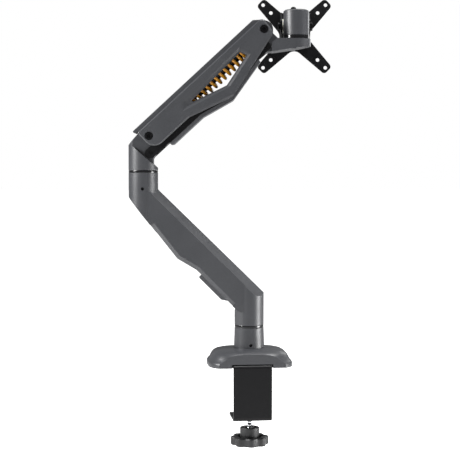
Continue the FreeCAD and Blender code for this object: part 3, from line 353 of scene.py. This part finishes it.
def as_object(name, shape, place=None):
    """A mesh object at the origin from a bmesh, which is freed."""
    if place is not None:
        shape.transform(place)
    mesh = bpy.data.meshes.new(name)
    shape.to_mesh(mesh)
    shape.free()
    piece = bpy.data.objects.new(name, mesh)
    bpy.context.scene.collection.objects.link(piece)
    return piece


def baked(piece, place=None):
    """Turns a piece's modifiers into plain mesh, and moves the mesh to its place."""
    bpy.context.view_layer.update()
    ready = piece.evaluated_get(bpy.context.evaluated_depsgraph_get())
    mesh = bpy.data.meshes.new_from_object(ready)
    piece.modifiers.clear()
    piece.data = mesh
    if place is not None:
        mesh.transform(place)
    return piece


def rounded_edges(piece, width, segments=2):
    """Rounds edges sharper than a crease, often by much less than asked. A harmful round is left off."""
    sharp = piece.data.copy()
    volume, gaps = volume_and_gaps(piece)
    bevel = piece.modifiers.new("edges", "BEVEL")
    bevel.limit_method = "ANGLE"
    bevel.angle_limit = CREASE
    bevel.width = width
    bevel.segments = segments
    bevel.use_clamp_overlap = True
    baked(piece)
    new_volume, new_gaps = volume_and_gaps(piece)
    if new_gaps > gaps or abs(new_volume - volume) > MOST_ROUNDED_OFF * abs(volume):
        piece.data = sharp
    piece.data.shade_smooth()
    piece.data.set_sharp_from_angle(angle=CREASE)
    flat = piece.modifiers.new("flat faces", "WEIGHTED_NORMAL")
    flat.keep_sharp = True
    return baked(piece)


def cut_away(piece, *cutters):
    """Cuts closed shapes out of a piece, and deletes them. A cut that spoils the piece stops the script."""
    for cutter in cutters:
        volume, gaps = volume_and_gaps(piece)
        cutting = piece.modifiers.new("cut", "BOOLEAN")
        cutting.operation = "DIFFERENCE"
        cutting.solver = "MANIFOLD"
        cutting.object = cutter
        baked(piece)
        left, new_gaps = volume_and_gaps(piece)
        most = abs(volume_and_gaps(cutter)[0])
        if not volume - CUT_SPARE * most <= left <= volume or new_gaps > gaps:
            raise RuntimeError(f"{cutter.name} spoils {piece.name}: {volume} becomes {left}, {new_gaps} gaps")
        bpy.data.objects.remove(cutter)
    return piece


def seated(piece, *nodes):
    """Puts a piece on its body, in its nodes' place, with its node's finish."""
    piece.data.materials.clear()
    piece.data.materials.append(finish(SLOT_OF[nodes[0]]))
    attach(piece, BODY_OF[nodes[0]])
    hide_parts(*nodes)
    return piece


def softened(node, width, segments=2):
    """A node's own shape with its edges rounded."""
    return seated(rounded_edges(as_object(node + "_shape", node_copy(node)), width, segments), node)


def rounded_outline(corners, steps=8):
    """Points round a closed outline; each corner is (x, y, radius) in millimetres."""
    points = []
    for i, (x, y, radius) in enumerate(corners):
        spot = Vector((x, y))
        into = (Vector(corners[i - 1][:2]) - spot).normalized()
        away = (Vector(corners[(i + 1) % len(corners)][:2]) - spot).normalized()
        half = into.angle(away) / 2
        centre = spot + (into + away).normalized() * radius / math.sin(half)
        start = spot + into * radius / math.tan(half) - centre
        end = spot + away * radius / math.tan(half) - centre
        points += [centre + radius * start.slerp(end, step / steps) for step in range(steps + 1)]
    return points


def moved_in(corners, widths):
    """The outline with each edge moved inwards; widths[i] is for the edge after corner i."""
    count = len(corners)
    spots = [Vector(corner[:2]) for corner in corners]
    area = sum(spots[i].cross(spots[(i + 1) % count]) for i in range(count))
    inside = 1 if area > 0 else -1
    edges = []
    for i in range(count):
        way = (spots[(i + 1) % count] - spots[i]).normalized()
        edges.append((spots[i] + inside * widths[i] * Vector((-way.y, way.x)), way))
    result = []
    for i in range(count):
        (spot_a, way_a), (spot_b, way_b) = edges[i - 1], edges[i]
        reach = (spot_b - spot_a).cross(way_b) / way_a.cross(way_b)
        corner = spot_a + way_a * reach
        result.append((corner.x, corner.y, max(corners[i][2] - min(widths[i - 1], widths[i]), 0.4)))
    return result


def lofted(name, layers, place=None):
    """A closed solid from (outline, depth) layers along Y, each with as many points."""
    shape = bmesh.new()
    rows = [[shape.verts.new((p.x * MM, depth * MM, p.y * MM)) for p in outline] for outline, depth in layers]
    for low, high in zip(rows, rows[1:]):
        for i in range(len(low)):
            shape.faces.new((low[i - 1], low[i], high[i], high[i - 1]))
    shape.faces.new(rows[0])
    shape.faces.new(rows[-1])
    closed_up(shape)
    bmesh.ops.triangulate(shape, faces=[face for face in shape.faces if len(face.verts) > 4])
    return as_object(name, shape, place)


def circle_points(x, y, radius, count=40):
    """Points round a circle, in millimetres."""
    turns = [2 * math.pi * i / count for i in range(count)]
    return [Vector((x + radius * math.cos(a), y + radius * math.sin(a))) for a in turns]


def closed_up(shape):
    """Joins corners that meet and turns every face outwards."""
    bmesh.ops.remove_doubles(shape, verts=shape.verts, dist=MERGE)
    bmesh.ops.recalc_face_normals(shape, faces=shape.faces)
    return shape


def turned_rings(rings, count, radius_at=None):
    """A closed shape from rings (radius, height), in millimetres, about the Z axis."""
    shape = bmesh.new()
    rows = []
    for radius, height in rings:
        row = []
        for i in range(count):
            angle = 2 * math.pi * i / count
            reach = radius_at(radius, angle) if radius_at else radius
            row.append(shape.verts.new((reach * MM * math.cos(angle), reach * MM * math.sin(angle),
                                        height * MM)))
        rows.append(row)
    for low, high in zip(rows, rows[1:]):
        for i in range(count):
            shape.faces.new((low[i - 1], low[i], high[i], high[i - 1]))
    shape.faces.new(rows[0])
    shape.faces.new(rows[-1])
    return closed_up(shape)


# ---- base and clamp ---------------------------------------------------------------


def build_base_cover():
    """The low dome: its plan is a squared ellipse, cut flat in front, with a notch for the strap."""
    half_width, half_depth, power = 66, 57, 3.4
    rings = [(1, 0.1), (1, 2), (0.998, 5.2), (0.99, 7.4), (0.972, 8.8), (0.945, 10.6), (0.915, 14.5),
             (0.885, 18.2), (0.845, 21.2), (0.78, 23.6), (0.68, 25.2), (0.55, 26.3), (0.45, 26.8)]

    def plan(scale, angle):
        cosine, sine = abs(math.cos(angle)), abs(math.sin(angle))
        spread = cosine ** power / half_width ** power + sine ** power / half_depth ** power
        return scale * spread ** (-1 / power)

    shape = turned_rings(rings + [(0, 27)], 144, lambda scale, a: plan(scale, a) if scale else 24.3)
    caps = [face for face in shape.faces if len(face.verts) > 4]
    bmesh.ops.delete(shape, geom=caps, context="FACES_ONLY")
    front = -48 * MM
    cut = bmesh.ops.bisect_plane(shape, geom=shape.verts[:] + shape.edges[:] + shape.faces[:],
                                 plane_co=(0, front, 0), plane_no=(0, -1, 0), clear_outer=True)
    edge_points = [item for item in cut["geom_cut"] if isinstance(item, bmesh.types.BMVert)]
    edge_points.sort(key=lambda v: v.co.x)
    low = [shape.verts.new((v.co.x, front, 0.1 * MM)) for v in edge_points[1:-1]]
    low = [edge_points[0]] + low + [edge_points[-1]]
    for i in range(len(edge_points) - 1):
        corners = [edge_points[i], edge_points[i + 1], low[i + 1], low[i]]
        distinct = list(dict.fromkeys(corners))
        if len(distinct) > 2:
            shape.faces.new(distinct)
    closed = closed_up(shape)
    cover = as_object("base_cover_shape", closed)
    wall = cover.modifiers.new("wall", "SOLIDIFY")
    wall.thickness = 3 * MM
    wall.offset = -1
    baked(cover)
    notch = bmesh.new()
    bmesh.ops.create_cube(notch, size=1, matrix=Matrix.Translation((0, front, 2.9 * MM)) @ Matrix.Diagonal(
        (64 * MM, 16 * MM, 6.2 * MM, 1)))
    cut_away(cover, as_object("notch", notch))
    baked(cover, BASE_FRAME)
    return seated(rounded_edges(cover, 1.1 * MM, 3), "base_cover")


def build_knob():
    """The clamp's knob: a lobed rim round an open cup, with the screw's hub in the middle."""
    lobes = sizes().lobes

    def rim(radius, angle):
        """Full lobes at the rim, fading to a plain circle in the cup."""
        if radius < 22:
            return radius
        wave = math.cos(lobes * angle)
        return radius - 1.9 + 1.9 * math.copysign(abs(wave) ** 0.75, wave)

    rings = [(4, -126), (12, -126), (21.5, -126), (27, -126), (28.9, -125.6), (29.8, -124.5), (30, -123),
             (30, -115), (29.8, -113.4), (28.9, -112.3), (27.4, -112), (24.5, -112), (22.5, -112.3),
             (21.6, -113.2), (20.8, -116), (19.6, -121), (18, -122.2), (15.6, -122.2), (15.2, -121.4),
             (15.1, -112), (15.3, -104), (15.3, -99.6), (14.9, -98.5), (13.8, -98), (11.6, -98),
             (10.6, -98.6), (9.8, -101), (4.05, -101)]
    knob = as_object("clamp_knob_shape", turned_rings(rings, 192, rim), CLAMP_FRAME)
    return seated(rounded_edges(knob, 0.25 * MM, 1), "clamp_knob")


def new_tree(name, sockets):
    """A geometry tree with named inputs, and its input and output nodes."""
    tree = bpy.data.node_groups.new(name, "GeometryNodeTree")
    for label, kind, value in sockets:
        socket = tree.interface.new_socket(label, in_out="INPUT", socket_type=kind)
        if value is not None:
            socket.default_value = value
    tree.interface.new_socket("Geometry", in_out="OUTPUT", socket_type="NodeSocketGeometry")
    return tree, add_node(tree, "NodeGroupInput"), add_node(tree, "NodeGroupOutput")


def grown(name, tree, values, place):
    """A piece from a geometry tree, with its inputs set by their identifiers, as plain mesh."""
    piece = as_object(name, bmesh.new())
    modifier = piece.modifiers.new("shape", "NODES")
    modifier.node_group = tree
    for item in tree.interface.items_tree:
        if item.in_out == "INPUT" and item.name in values:
            modifier[item.identifier] = values[item.name]
    baked(piece, place)
    piece.data.shade_smooth()
    return piece


def math_node(tree, operation, first, second=0.0):
    """The result socket of one sum on two values or sockets."""
    return add_node(tree, "ShaderNodeMath", {0: first, 1: second}, operation=operation).outputs[0]


def thread_tree():
    """A screw: a core with one ridge wound round it."""
    tree, start, end = new_tree("screw_thread", [
        ("Radius", "NodeSocketFloat", 0.004), ("Length", "NodeSocketFloat", 0.09),
        ("Pitch", "NodeSocketFloat", 0.00125), ("Material", "NodeSocketMaterial", None)])
    radius, length, pitch, material = [start.outputs[i] for i in range(4)]
    ridge = math_node(tree, "MULTIPLY", pitch, 0.55)
    core = math_node(tree, "SUBTRACT", radius, ridge)
    spiral = add_node(tree, "GeometryNodeCurveSpiral", {
        "Resolution": 28, "Rotations": math_node(tree, "DIVIDE", length, pitch),
        "Start Radius": core, "End Radius": core, "Height": length})
    section = add_node(tree, "GeometryNodeCurvePrimitiveCircle", {"Resolution": 4, "Radius": ridge})
    thread = add_node(tree, "GeometryNodeCurveToMesh", {
        "Curve": spiral.outputs[0], "Profile Curve": section.outputs[0], "Fill Caps": True})
    rod = add_node(tree, "GeometryNodeMeshCylinder", {
        "Vertices": 40, "Radius": core, "Depth": length})
    middle = add_node(tree, "ShaderNodeCombineXYZ", {"Z": math_node(tree, "DIVIDE", length, 2.0)})
    raised_rod = add_node(tree, "GeometryNodeTransform", {
        "Geometry": rod.outputs[0], "Translation": middle.outputs[0]})
    both = add_node(tree, "GeometryNodeJoinGeometry")
    tree.links.new(thread.outputs[0], both.inputs[0])
    tree.links.new(raised_rod.outputs[0], both.inputs[0])
    real = add_node(tree, "GeometryNodeRealizeInstances", {"Geometry": both.outputs[0]})
    coated = add_node(tree, "GeometryNodeSetMaterial", {"Geometry": real.outputs[0], "Material": material})
    tree.links.new(coated.outputs[0], end.inputs[0])
    return tree


def build_clamp_screw():
    """The plated clamp screw with its real thread."""
    low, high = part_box("clamp_screw")
    screw = grown("clamp_screw_shape", thread_tree(), {
        "Radius": 0.00395, "Length": high[2] - low[2] - 1.6 * MM, "Pitch": sizes().thread_pitch,
        "Material": finish("bright_chrome")},
        Matrix.Translation(Vector((CLAMP_FRAME.translation.x, CLAMP_FRAME.translation.y, low[2] + 0.8 * MM))))
    screw.data.set_sharp_from_angle(angle=CREASE)
    return seated(screw, "clamp_screw")


# ---- lower arm --------------------------------------------------------------------


def mitred(path):
    """For each point of a path, the step that moves both its edges in by one."""
    ways = [(b - a).normalized() for a, b in zip(path, path[1:])]
    steps = []
    for i in range(len(path)):
        before, after = ways[max(i - 1, 0)], ways[min(i, len(ways) - 1)]
        middle = (Vector((-before.y, before.x)) + Vector((-after.y, after.x))).normalized()
        steps.append(middle / middle.dot(Vector((-after.y, after.x))))
    return steps


def bevel_cutter(path, side, deep, edge, wall):
    """A wedge along an edge: cuts from half-width edge on the path to wall, deep inside it."""
    slope, spare = (wall - edge) / deep, 2.0
    section = [(-spare, edge - spare * slope), (-spare, wall + spare), (deep + spare / slope, wall + spare)]
    shape = bmesh.new()
    rows = []
    for point, step in zip(path, mitred(path)):
        spots = [(point + step * inward, across) for inward, across in section]
        rows.append([shape.verts.new((p.x * MM, side * across * MM, p.y * MM)) for p, across in spots])
    for first, last in zip(rows, rows[1:]):
        for i in range(3):
            shape.faces.new((first[i - 1], first[i], last[i], last[i - 1]))
    shape.faces.new(rows[0])
    shape.faces.new(rows[-1])
    return as_object("bevel_cutter", closed_up(shape))


def build_lower_arm():
    """The lower casting, with its long bevels below cut from the flat sides."""
    arm = as_object("lower_arm_shape", node_copy("lower_arm"))
    path = [Vector(spot) for spot in ((-153.5, 219.6), (-112, 167), (-82, 149.3), (-26, 93.3))]
    deep, edge, wall = sizes().arm_bevel / MM, 14.75, 21.5
    cut_away(arm, *[bevel_cutter(path, side, deep, edge, wall) for side in (-1, 1)])
    return seated(rounded_edges(arm, 0.6 * MM, 2), "lower_arm")


# ---- upper arm --------------------------------------------------------------------


def panel_outline():
    """The side panel's corners (along, up, radius) and the bevel after each, in millimetres."""
    corners = [(-10, 15.5, 2.4), (246, 15.5, 4), (252, 11.3, 4), (249.5, -14.2, 9),
               (136, -43.8, 12), (65.2, -21.5, 16), (-10, -21.5, 18)]
    return corners, [1.9, 2.2, 2.6, 3.6, 3.2, 2.2, 1.9]


def build_side_panel(node, side):
    """A side panel: bevelled round its edge, with a deep sloping frame round the spring's window."""
    inner, outer = 22.5 * side, 25.5 * side
    edge_drop, floor_depth, flare_share, bore_radius = 1.5, 2.6, 0.2, 6.7
    corners, bevels = panel_outline()
    recess = [(57.6, -6.3, 3), (70.2, 5.4, 3), (197, 5.2, 3), (203.5, -13.6, 3), (143, -29.5, 8)]
    floor = [(72, -6.2, 1.5), (78, 0.6, 2), (191.5, 1.6, 2), (197.3, -12, 2), (141.5, -26, 6)]
    opening = [(78, -5.3, 1.5), (190, -1.1, 2), (195, -11, 2), (141, -24.5, 6)]
    full = rounded_outline(corners)
    panel = lofted(node + "_shape", [(full, inner), (full, outer - edge_drop * side),
                                     (rounded_outline(moved_in(corners, bevels)), outer)])
    lip, deep = rounded_outline(recess), rounded_outline(floor)
    # The frame's slope is carried on a little past the face, so that the cut opens it cleanly.
    flare = [p + (p - q) * flare_share for p, q in zip(lip, deep)]
    window = rounded_outline(opening)
    cutters = [lofted("recess", [(flare, outer + flare_share * floor_depth * side),
                                 (deep, outer - floor_depth * side)]),
               lofted("window", [(window, outer + side), (window, inner - side)])]
    for along in (0, ARM_LENGTH / MM):
        bore = circle_points(along, 0, bore_radius)
        cutters.append(lofted("bore", [(bore, outer + side), (bore, inner - side)]))
    cut_away(panel, *cutters)
    baked(panel, ARM_FRAME)
    return seated(rounded_edges(panel, 0.3 * MM, 2), node)


def spring_tree():
    """A coil spring: wire wound round the X axis, close at both ends and open between."""
    tree, start, end = new_tree("coil_spring", [
        ("Length", "NodeSocketFloat", 0.12), ("Turns", "NodeSocketFloat", 12.0),
        ("Radius", "NodeSocketFloat", 0.0125), ("Wire", "NodeSocketFloat", 0.0024),
        ("Material", "NodeSocketMaterial", None)])
    length, turns, radius, wire, material = [start.outputs[i] for i in range(5)]
    steps = 1000
    line = add_node(tree, "GeometryNodeCurvePrimitiveLine")
    wound = add_node(tree, "GeometryNodeResampleCurve", {"Curve": line.outputs[0], "Count": steps})
    share = math_node(tree, "DIVIDE", add_node(tree, "GeometryNodeInputIndex").outputs[0], float(steps - 1))
    turn = math_node(tree, "MULTIPLY", share, turns)
    angle = math_node(tree, "MULTIPLY", turn, 2 * math.pi)
    dead = math_node(tree, "MULTIPLY", wire, 2.0)
    closed_turns = 1.0
    left = math_node(tree, "MINIMUM", turn, closed_turns)
    last = math_node(tree, "SUBTRACT", turns, closed_turns)
    right = math_node(tree, "MAXIMUM", math_node(tree, "SUBTRACT", turn, last), 0.0)
    ends = math_node(tree, "MULTIPLY", math_node(tree, "ADD", left, right), dead)
    open_turns = math_node(tree, "SUBTRACT", turns, 2 * closed_turns)
    inner_turn = math_node(tree, "SUBTRACT", math_node(tree, "SUBTRACT", turn, left), right)
    open_length = math_node(tree, "SUBTRACT", length, math_node(tree, "MULTIPLY", dead, 2 * closed_turns + 1))
    open_pitch = math_node(tree, "DIVIDE", open_length, open_turns)
    along = math_node(tree, "ADD", math_node(tree, "ADD", ends, wire),
                      math_node(tree, "MULTIPLY", inner_turn, open_pitch))
    place = add_node(tree, "ShaderNodeCombineXYZ", {
        "X": along, "Y": math_node(tree, "MULTIPLY", math_node(tree, "COSINE", angle), radius),
        "Z": math_node(tree, "MULTIPLY", math_node(tree, "SINE", angle), radius)})
    bent = add_node(tree, "GeometryNodeSetPosition", {
        "Geometry": wound.outputs[0], "Position": place.outputs[0]})
    section = add_node(tree, "GeometryNodeCurvePrimitiveCircle", {"Resolution": 20, "Radius": wire})
    coil = add_node(tree, "GeometryNodeCurveToMesh", {
        "Curve": bent.outputs[0], "Profile Curve": section.outputs[0], "Fill Caps": True})
    real = add_node(tree, "GeometryNodeRealizeInstances", {"Geometry": coil.outputs[0]})
    coated = add_node(tree, "GeometryNodeSetMaterial", {"Geometry": real.outputs[0], "Material": material})
    tree.links.new(coated.outputs[0], end.inputs[0])
    return tree


def build_spring():
    """The lift spring between the push rod's plate and the sliding seat."""
    first, last, axis_drop = 0.076, 0.196, -0.002
    coil = grown("spring_shape", spring_tree(), {
        "Length": last - first, "Turns": float(sizes().spring_turns), "Radius": sizes().spring_radius,
        "Wire": sizes().wire_radius, "Material": finish("spring_paint")},
        ARM_FRAME @ Matrix.Translation((first, 0, axis_drop)))
    coil.data.set_sharp_from_angle(angle=math.radians(60))
    seated(coil, "spring")
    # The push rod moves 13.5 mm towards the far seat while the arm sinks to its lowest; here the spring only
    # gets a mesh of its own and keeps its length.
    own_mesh(coil)
    return coil


# ---- operators --------------------------------------------------------------------


class SoftenedNodes:
    """Rounds the edges of several pieces that keep their own shape."""
    bl_options = {"REGISTER", "UNDO"}
    nodes = ()
    fine = False

    def execute(self, context):
        for node in self.nodes:
            softened(node, sizes().fine_edge if self.fine else sizes().edge)
        return {"FINISHED"}


class MESH_OT_arm_base_cover(bpy.types.Operator):
    """Makes the base's domed cover"""
    bl_idname = "mesh.arm_base_cover"
    bl_label = "Base Cover"

    def execute(self, context):
        build_base_cover()
        return {"FINISHED"}


class MESH_OT_arm_base_metal(SoftenedNodes, bpy.types.Operator):
    """Makes the post, the strap of the clamp and its nut and grip"""
    bl_idname = "mesh.arm_base_metal"
    bl_label = "Base Metalwork"
    nodes = ("base_post", "base_plate", "clamp_bracket", "clamp_nut", "grip_disc", "grip_rubber", "base_pad")


class MESH_OT_arm_clamp(bpy.types.Operator):
    """Makes the clamp's screw and knob"""
    bl_idname = "mesh.arm_clamp"
    bl_label = "Clamp Screw and Knob"

    def execute(self, context):
        build_clamp_screw()
        build_knob()
        return {"FINISHED"}


class MESH_OT_arm_rings(SoftenedNodes, bpy.types.Operator):
    """Makes the polished rings between the turning parts"""
    bl_idname = "mesh.arm_rings"
    bl_label = "Swivel Rings"
    nodes = ("base_washer", "elbow_washer", "head_washer", "plate_washer", "tilt_washers")


class MESH_OT_arm_lower(bpy.types.Operator):
    """Makes the lower arm's casting"""
    bl_idname = "mesh.arm_lower"
    bl_label = "Lower Arm"

    def execute(self, context):
        build_lower_arm()
        return {"FINISHED"}


class MESH_OT_arm_castings(SoftenedNodes, bpy.types.Operator):
    """Makes the knuckle, the channel, the head bracket and the tilt housing"""
    bl_idname = "mesh.arm_castings"
    bl_label = "Other Castings"
    nodes = ("knuckle", "upper_channel", "head_bracket", "tilt_housing", "cable_clip", "link_cover",
             "head_cap")


class MESH_OT_arm_panels(bpy.types.Operator):
    """Makes the two side panels with the spring's window"""
    bl_idname = "mesh.arm_panels"
    bl_label = "Side Panels"

    def execute(self, context):
        build_side_panel("side_panel_front", -1)
        build_side_panel("side_panel_rear", 1)
        return {"FINISHED"}


class MESH_OT_arm_spring(bpy.types.Operator):
    """Makes the lift spring"""
    bl_idname = "mesh.arm_spring"
    bl_label = "Lift Spring"

    def execute(self, context):
        build_spring()
        return {"FINISHED"}


class MESH_OT_arm_steelwork(SoftenedNodes, bpy.types.Operator):
    """Makes the link, the rod, the yoke and the display plate"""
    bl_idname = "mesh.arm_steelwork"
    bl_label = "Steelwork"
    nodes = ("lower_link", "push_rod", "spring_seat", "guide_tube", "spring_block", "tilt_yoke", "vesa_plate",
             "plate_nut")
    fine = True


class MESH_OT_arm_screws(SoftenedNodes, bpy.types.Operator):
    """Makes the bolts and screws"""
    bl_idname = "mesh.arm_screws"
    bl_label = "Bolts and Screws"
    nodes = ("lift_bolt", "tip_bolt", "tilt_bolt", "plate_bolt", "adjuster_bolt", "stop_screw")
    fine = True


class MESH_OT_arm_inner(bpy.types.Operator):
    """Gives the pieces inside their finishes; they keep their turned shapes"""
    bl_idname = "mesh.arm_inner"
    bl_label = "Inner Pieces"

    def execute(self, context):
        for node, piece in frame["nodes"].items():
            for place in piece.material_slots:
                place.material = finish(SLOT_OF[node])
        return {"FINISHED"}


class SCENE_OT_arm_stage(bpy.types.Operator):
    """Makes the floor, the lights, the sky and the camera"""
    bl_idname = "scene.arm_stage"
    bl_label = "Stage"

    def execute(self, context):
        build_stage()
        return {"FINISHED"}


def seen_or_lit(tree, seen, lit):
    """A strength that is one value where the eye meets it and another where it lights the part."""
    path = add_node(tree, "ShaderNodeLightPath")
    return add_node(tree, "ShaderNodeMapRange", {
        "Value": path.outputs["Is Camera Ray"], "To Min": lit, "To Max": seen}).outputs["Result"]


def build_floor():
    """A plain pale floor under the knob's lowest place, which glows so that it meets the sky unseen."""
    knob_travel = 0.031
    shape = bmesh.new()
    bmesh.ops.create_grid(shape, x_segments=1, y_segments=1, size=30,
                          matrix=Matrix.Translation((0, 0, CAD_BOX[0][2] - knob_travel - 0.0005)))
    floor = as_object("floor", shape)
    material, tree, shader = new_material("studio_floor", colours().floor, **{
        "Roughness": 0.75, "Specular IOR Level": 0.0, "Emission Color": (1, 1, 1, 1)})
    tree.links.new(seen_or_lit(tree, 1.0, 0.0), shader.inputs["Emission Strength"])
    floor.data.materials.append(material)


def build_sky():
    """A white surround that lights the part only gently."""
    world = bpy.data.worlds.new("studio")
    world.use_nodes = True
    sky = world.node_tree.nodes["Background"]
    sky.inputs["Color"].default_value = (1, 1, 1, 1)
    world.node_tree.links.new(seen_or_lit(world.node_tree, 1.0, 0.25), sky.inputs["Strength"])
    bpy.context.scene.world = world


LAMPS = (("left", (-1.5, -0.55, 0.75), 0.6, 42), ("right", (1.5, -0.3, -0.1), 0.7, 40),
         ("top", (0.5, -0.25, 1.9), 0.7, 48), ("rim", (0.9, 1.3, 0.9), 0.8, 6))


def build_lamps():
    """Large soft lights at both sides and above, so that edges catch more light than faces."""
    middle = Vector((-0.03, 0, 0.25))
    for name, spot, size, power in LAMPS:
        lamp = bpy.data.lights.new(name, "AREA")
        lamp.shape = "DISK"
        lamp.size = size
        lamp.energy = power
        light = bpy.data.objects.new(name, lamp)
        light.location = spot
        light.rotation_euler = (middle - Vector(spot)).to_track_quat("-Z", "Y").to_euler()
        bpy.context.scene.collection.objects.link(light)


def build_camera():
    """A long lens in front of the arm, a little above its middle."""
    eye = bpy.data.cameras.new("camera")
    eye.lens = 100
    eye.sensor_width = 36
    camera = bpy.data.objects.new("camera", eye)
    camera.location = (-0.030, -2.0, 0.302)
    aim = Vector((-0.030, 0, 0.211))
    camera.rotation_euler = (aim - camera.location).to_track_quat("-Z", "Y").to_euler()
    bpy.context.scene.collection.objects.link(camera)
    bpy.context.scene.camera = camera


def build_stage():
    """The floor, the sky, the lamps and the camera."""
    bpy.context.scene.view_settings.view_transform = "Standard"
    build_floor()
    build_sky()
    build_lamps()
    build_camera()


PIECES = (SCENE_OT_arm_stage, MESH_OT_arm_inner, MESH_OT_arm_base_cover, MESH_OT_arm_base_metal,
          MESH_OT_arm_clamp, MESH_OT_arm_rings, MESH_OT_arm_lower, MESH_OT_arm_castings,
          MESH_OT_arm_panels, MESH_OT_arm_spring, MESH_OT_arm_steelwork, MESH_OT_arm_screws)


class VIEW3D_PT_monitor_arm(bpy.types.Panel):
    """Lists the sizes, the colours and the pieces"""
    bl_label = "Monitor Arm"
    bl_space_type = "VIEW_3D"
    bl_region_type = "UI"
    bl_category = "Monitor Arm"

    def draw(self, context):
        for group in (context.scene.arm_sizes, context.scene.arm_colours):
            for name in group.bl_rna.properties.keys():
                if name not in ("rna_type", "name"):
                    self.layout.prop(group, name)
        for piece in PIECES:
            self.layout.operator(piece.bl_idname)


CLASSES = (ArmSizes, ArmColours) + PIECES + (VIEW3D_PT_monitor_arm,)


def register():
    for item in CLASSES:
        bpy.utils.register_class(item)
    bpy.types.Scene.arm_sizes = PointerProperty(type=ArmSizes)
    bpy.types.Scene.arm_colours = PointerProperty(type=ArmColours)


def unregister():
    del bpy.types.Scene.arm_colours
    del bpy.types.Scene.arm_sizes
    for item in reversed(CLASSES):
        bpy.utils.unregister_class(item)


def main():
    register()
    for piece in PIECES:
        group, name = piece.bl_idname.split(".")
        getattr(getattr(bpy.ops, group), name)()


if __name__ == "__main__":
    main()
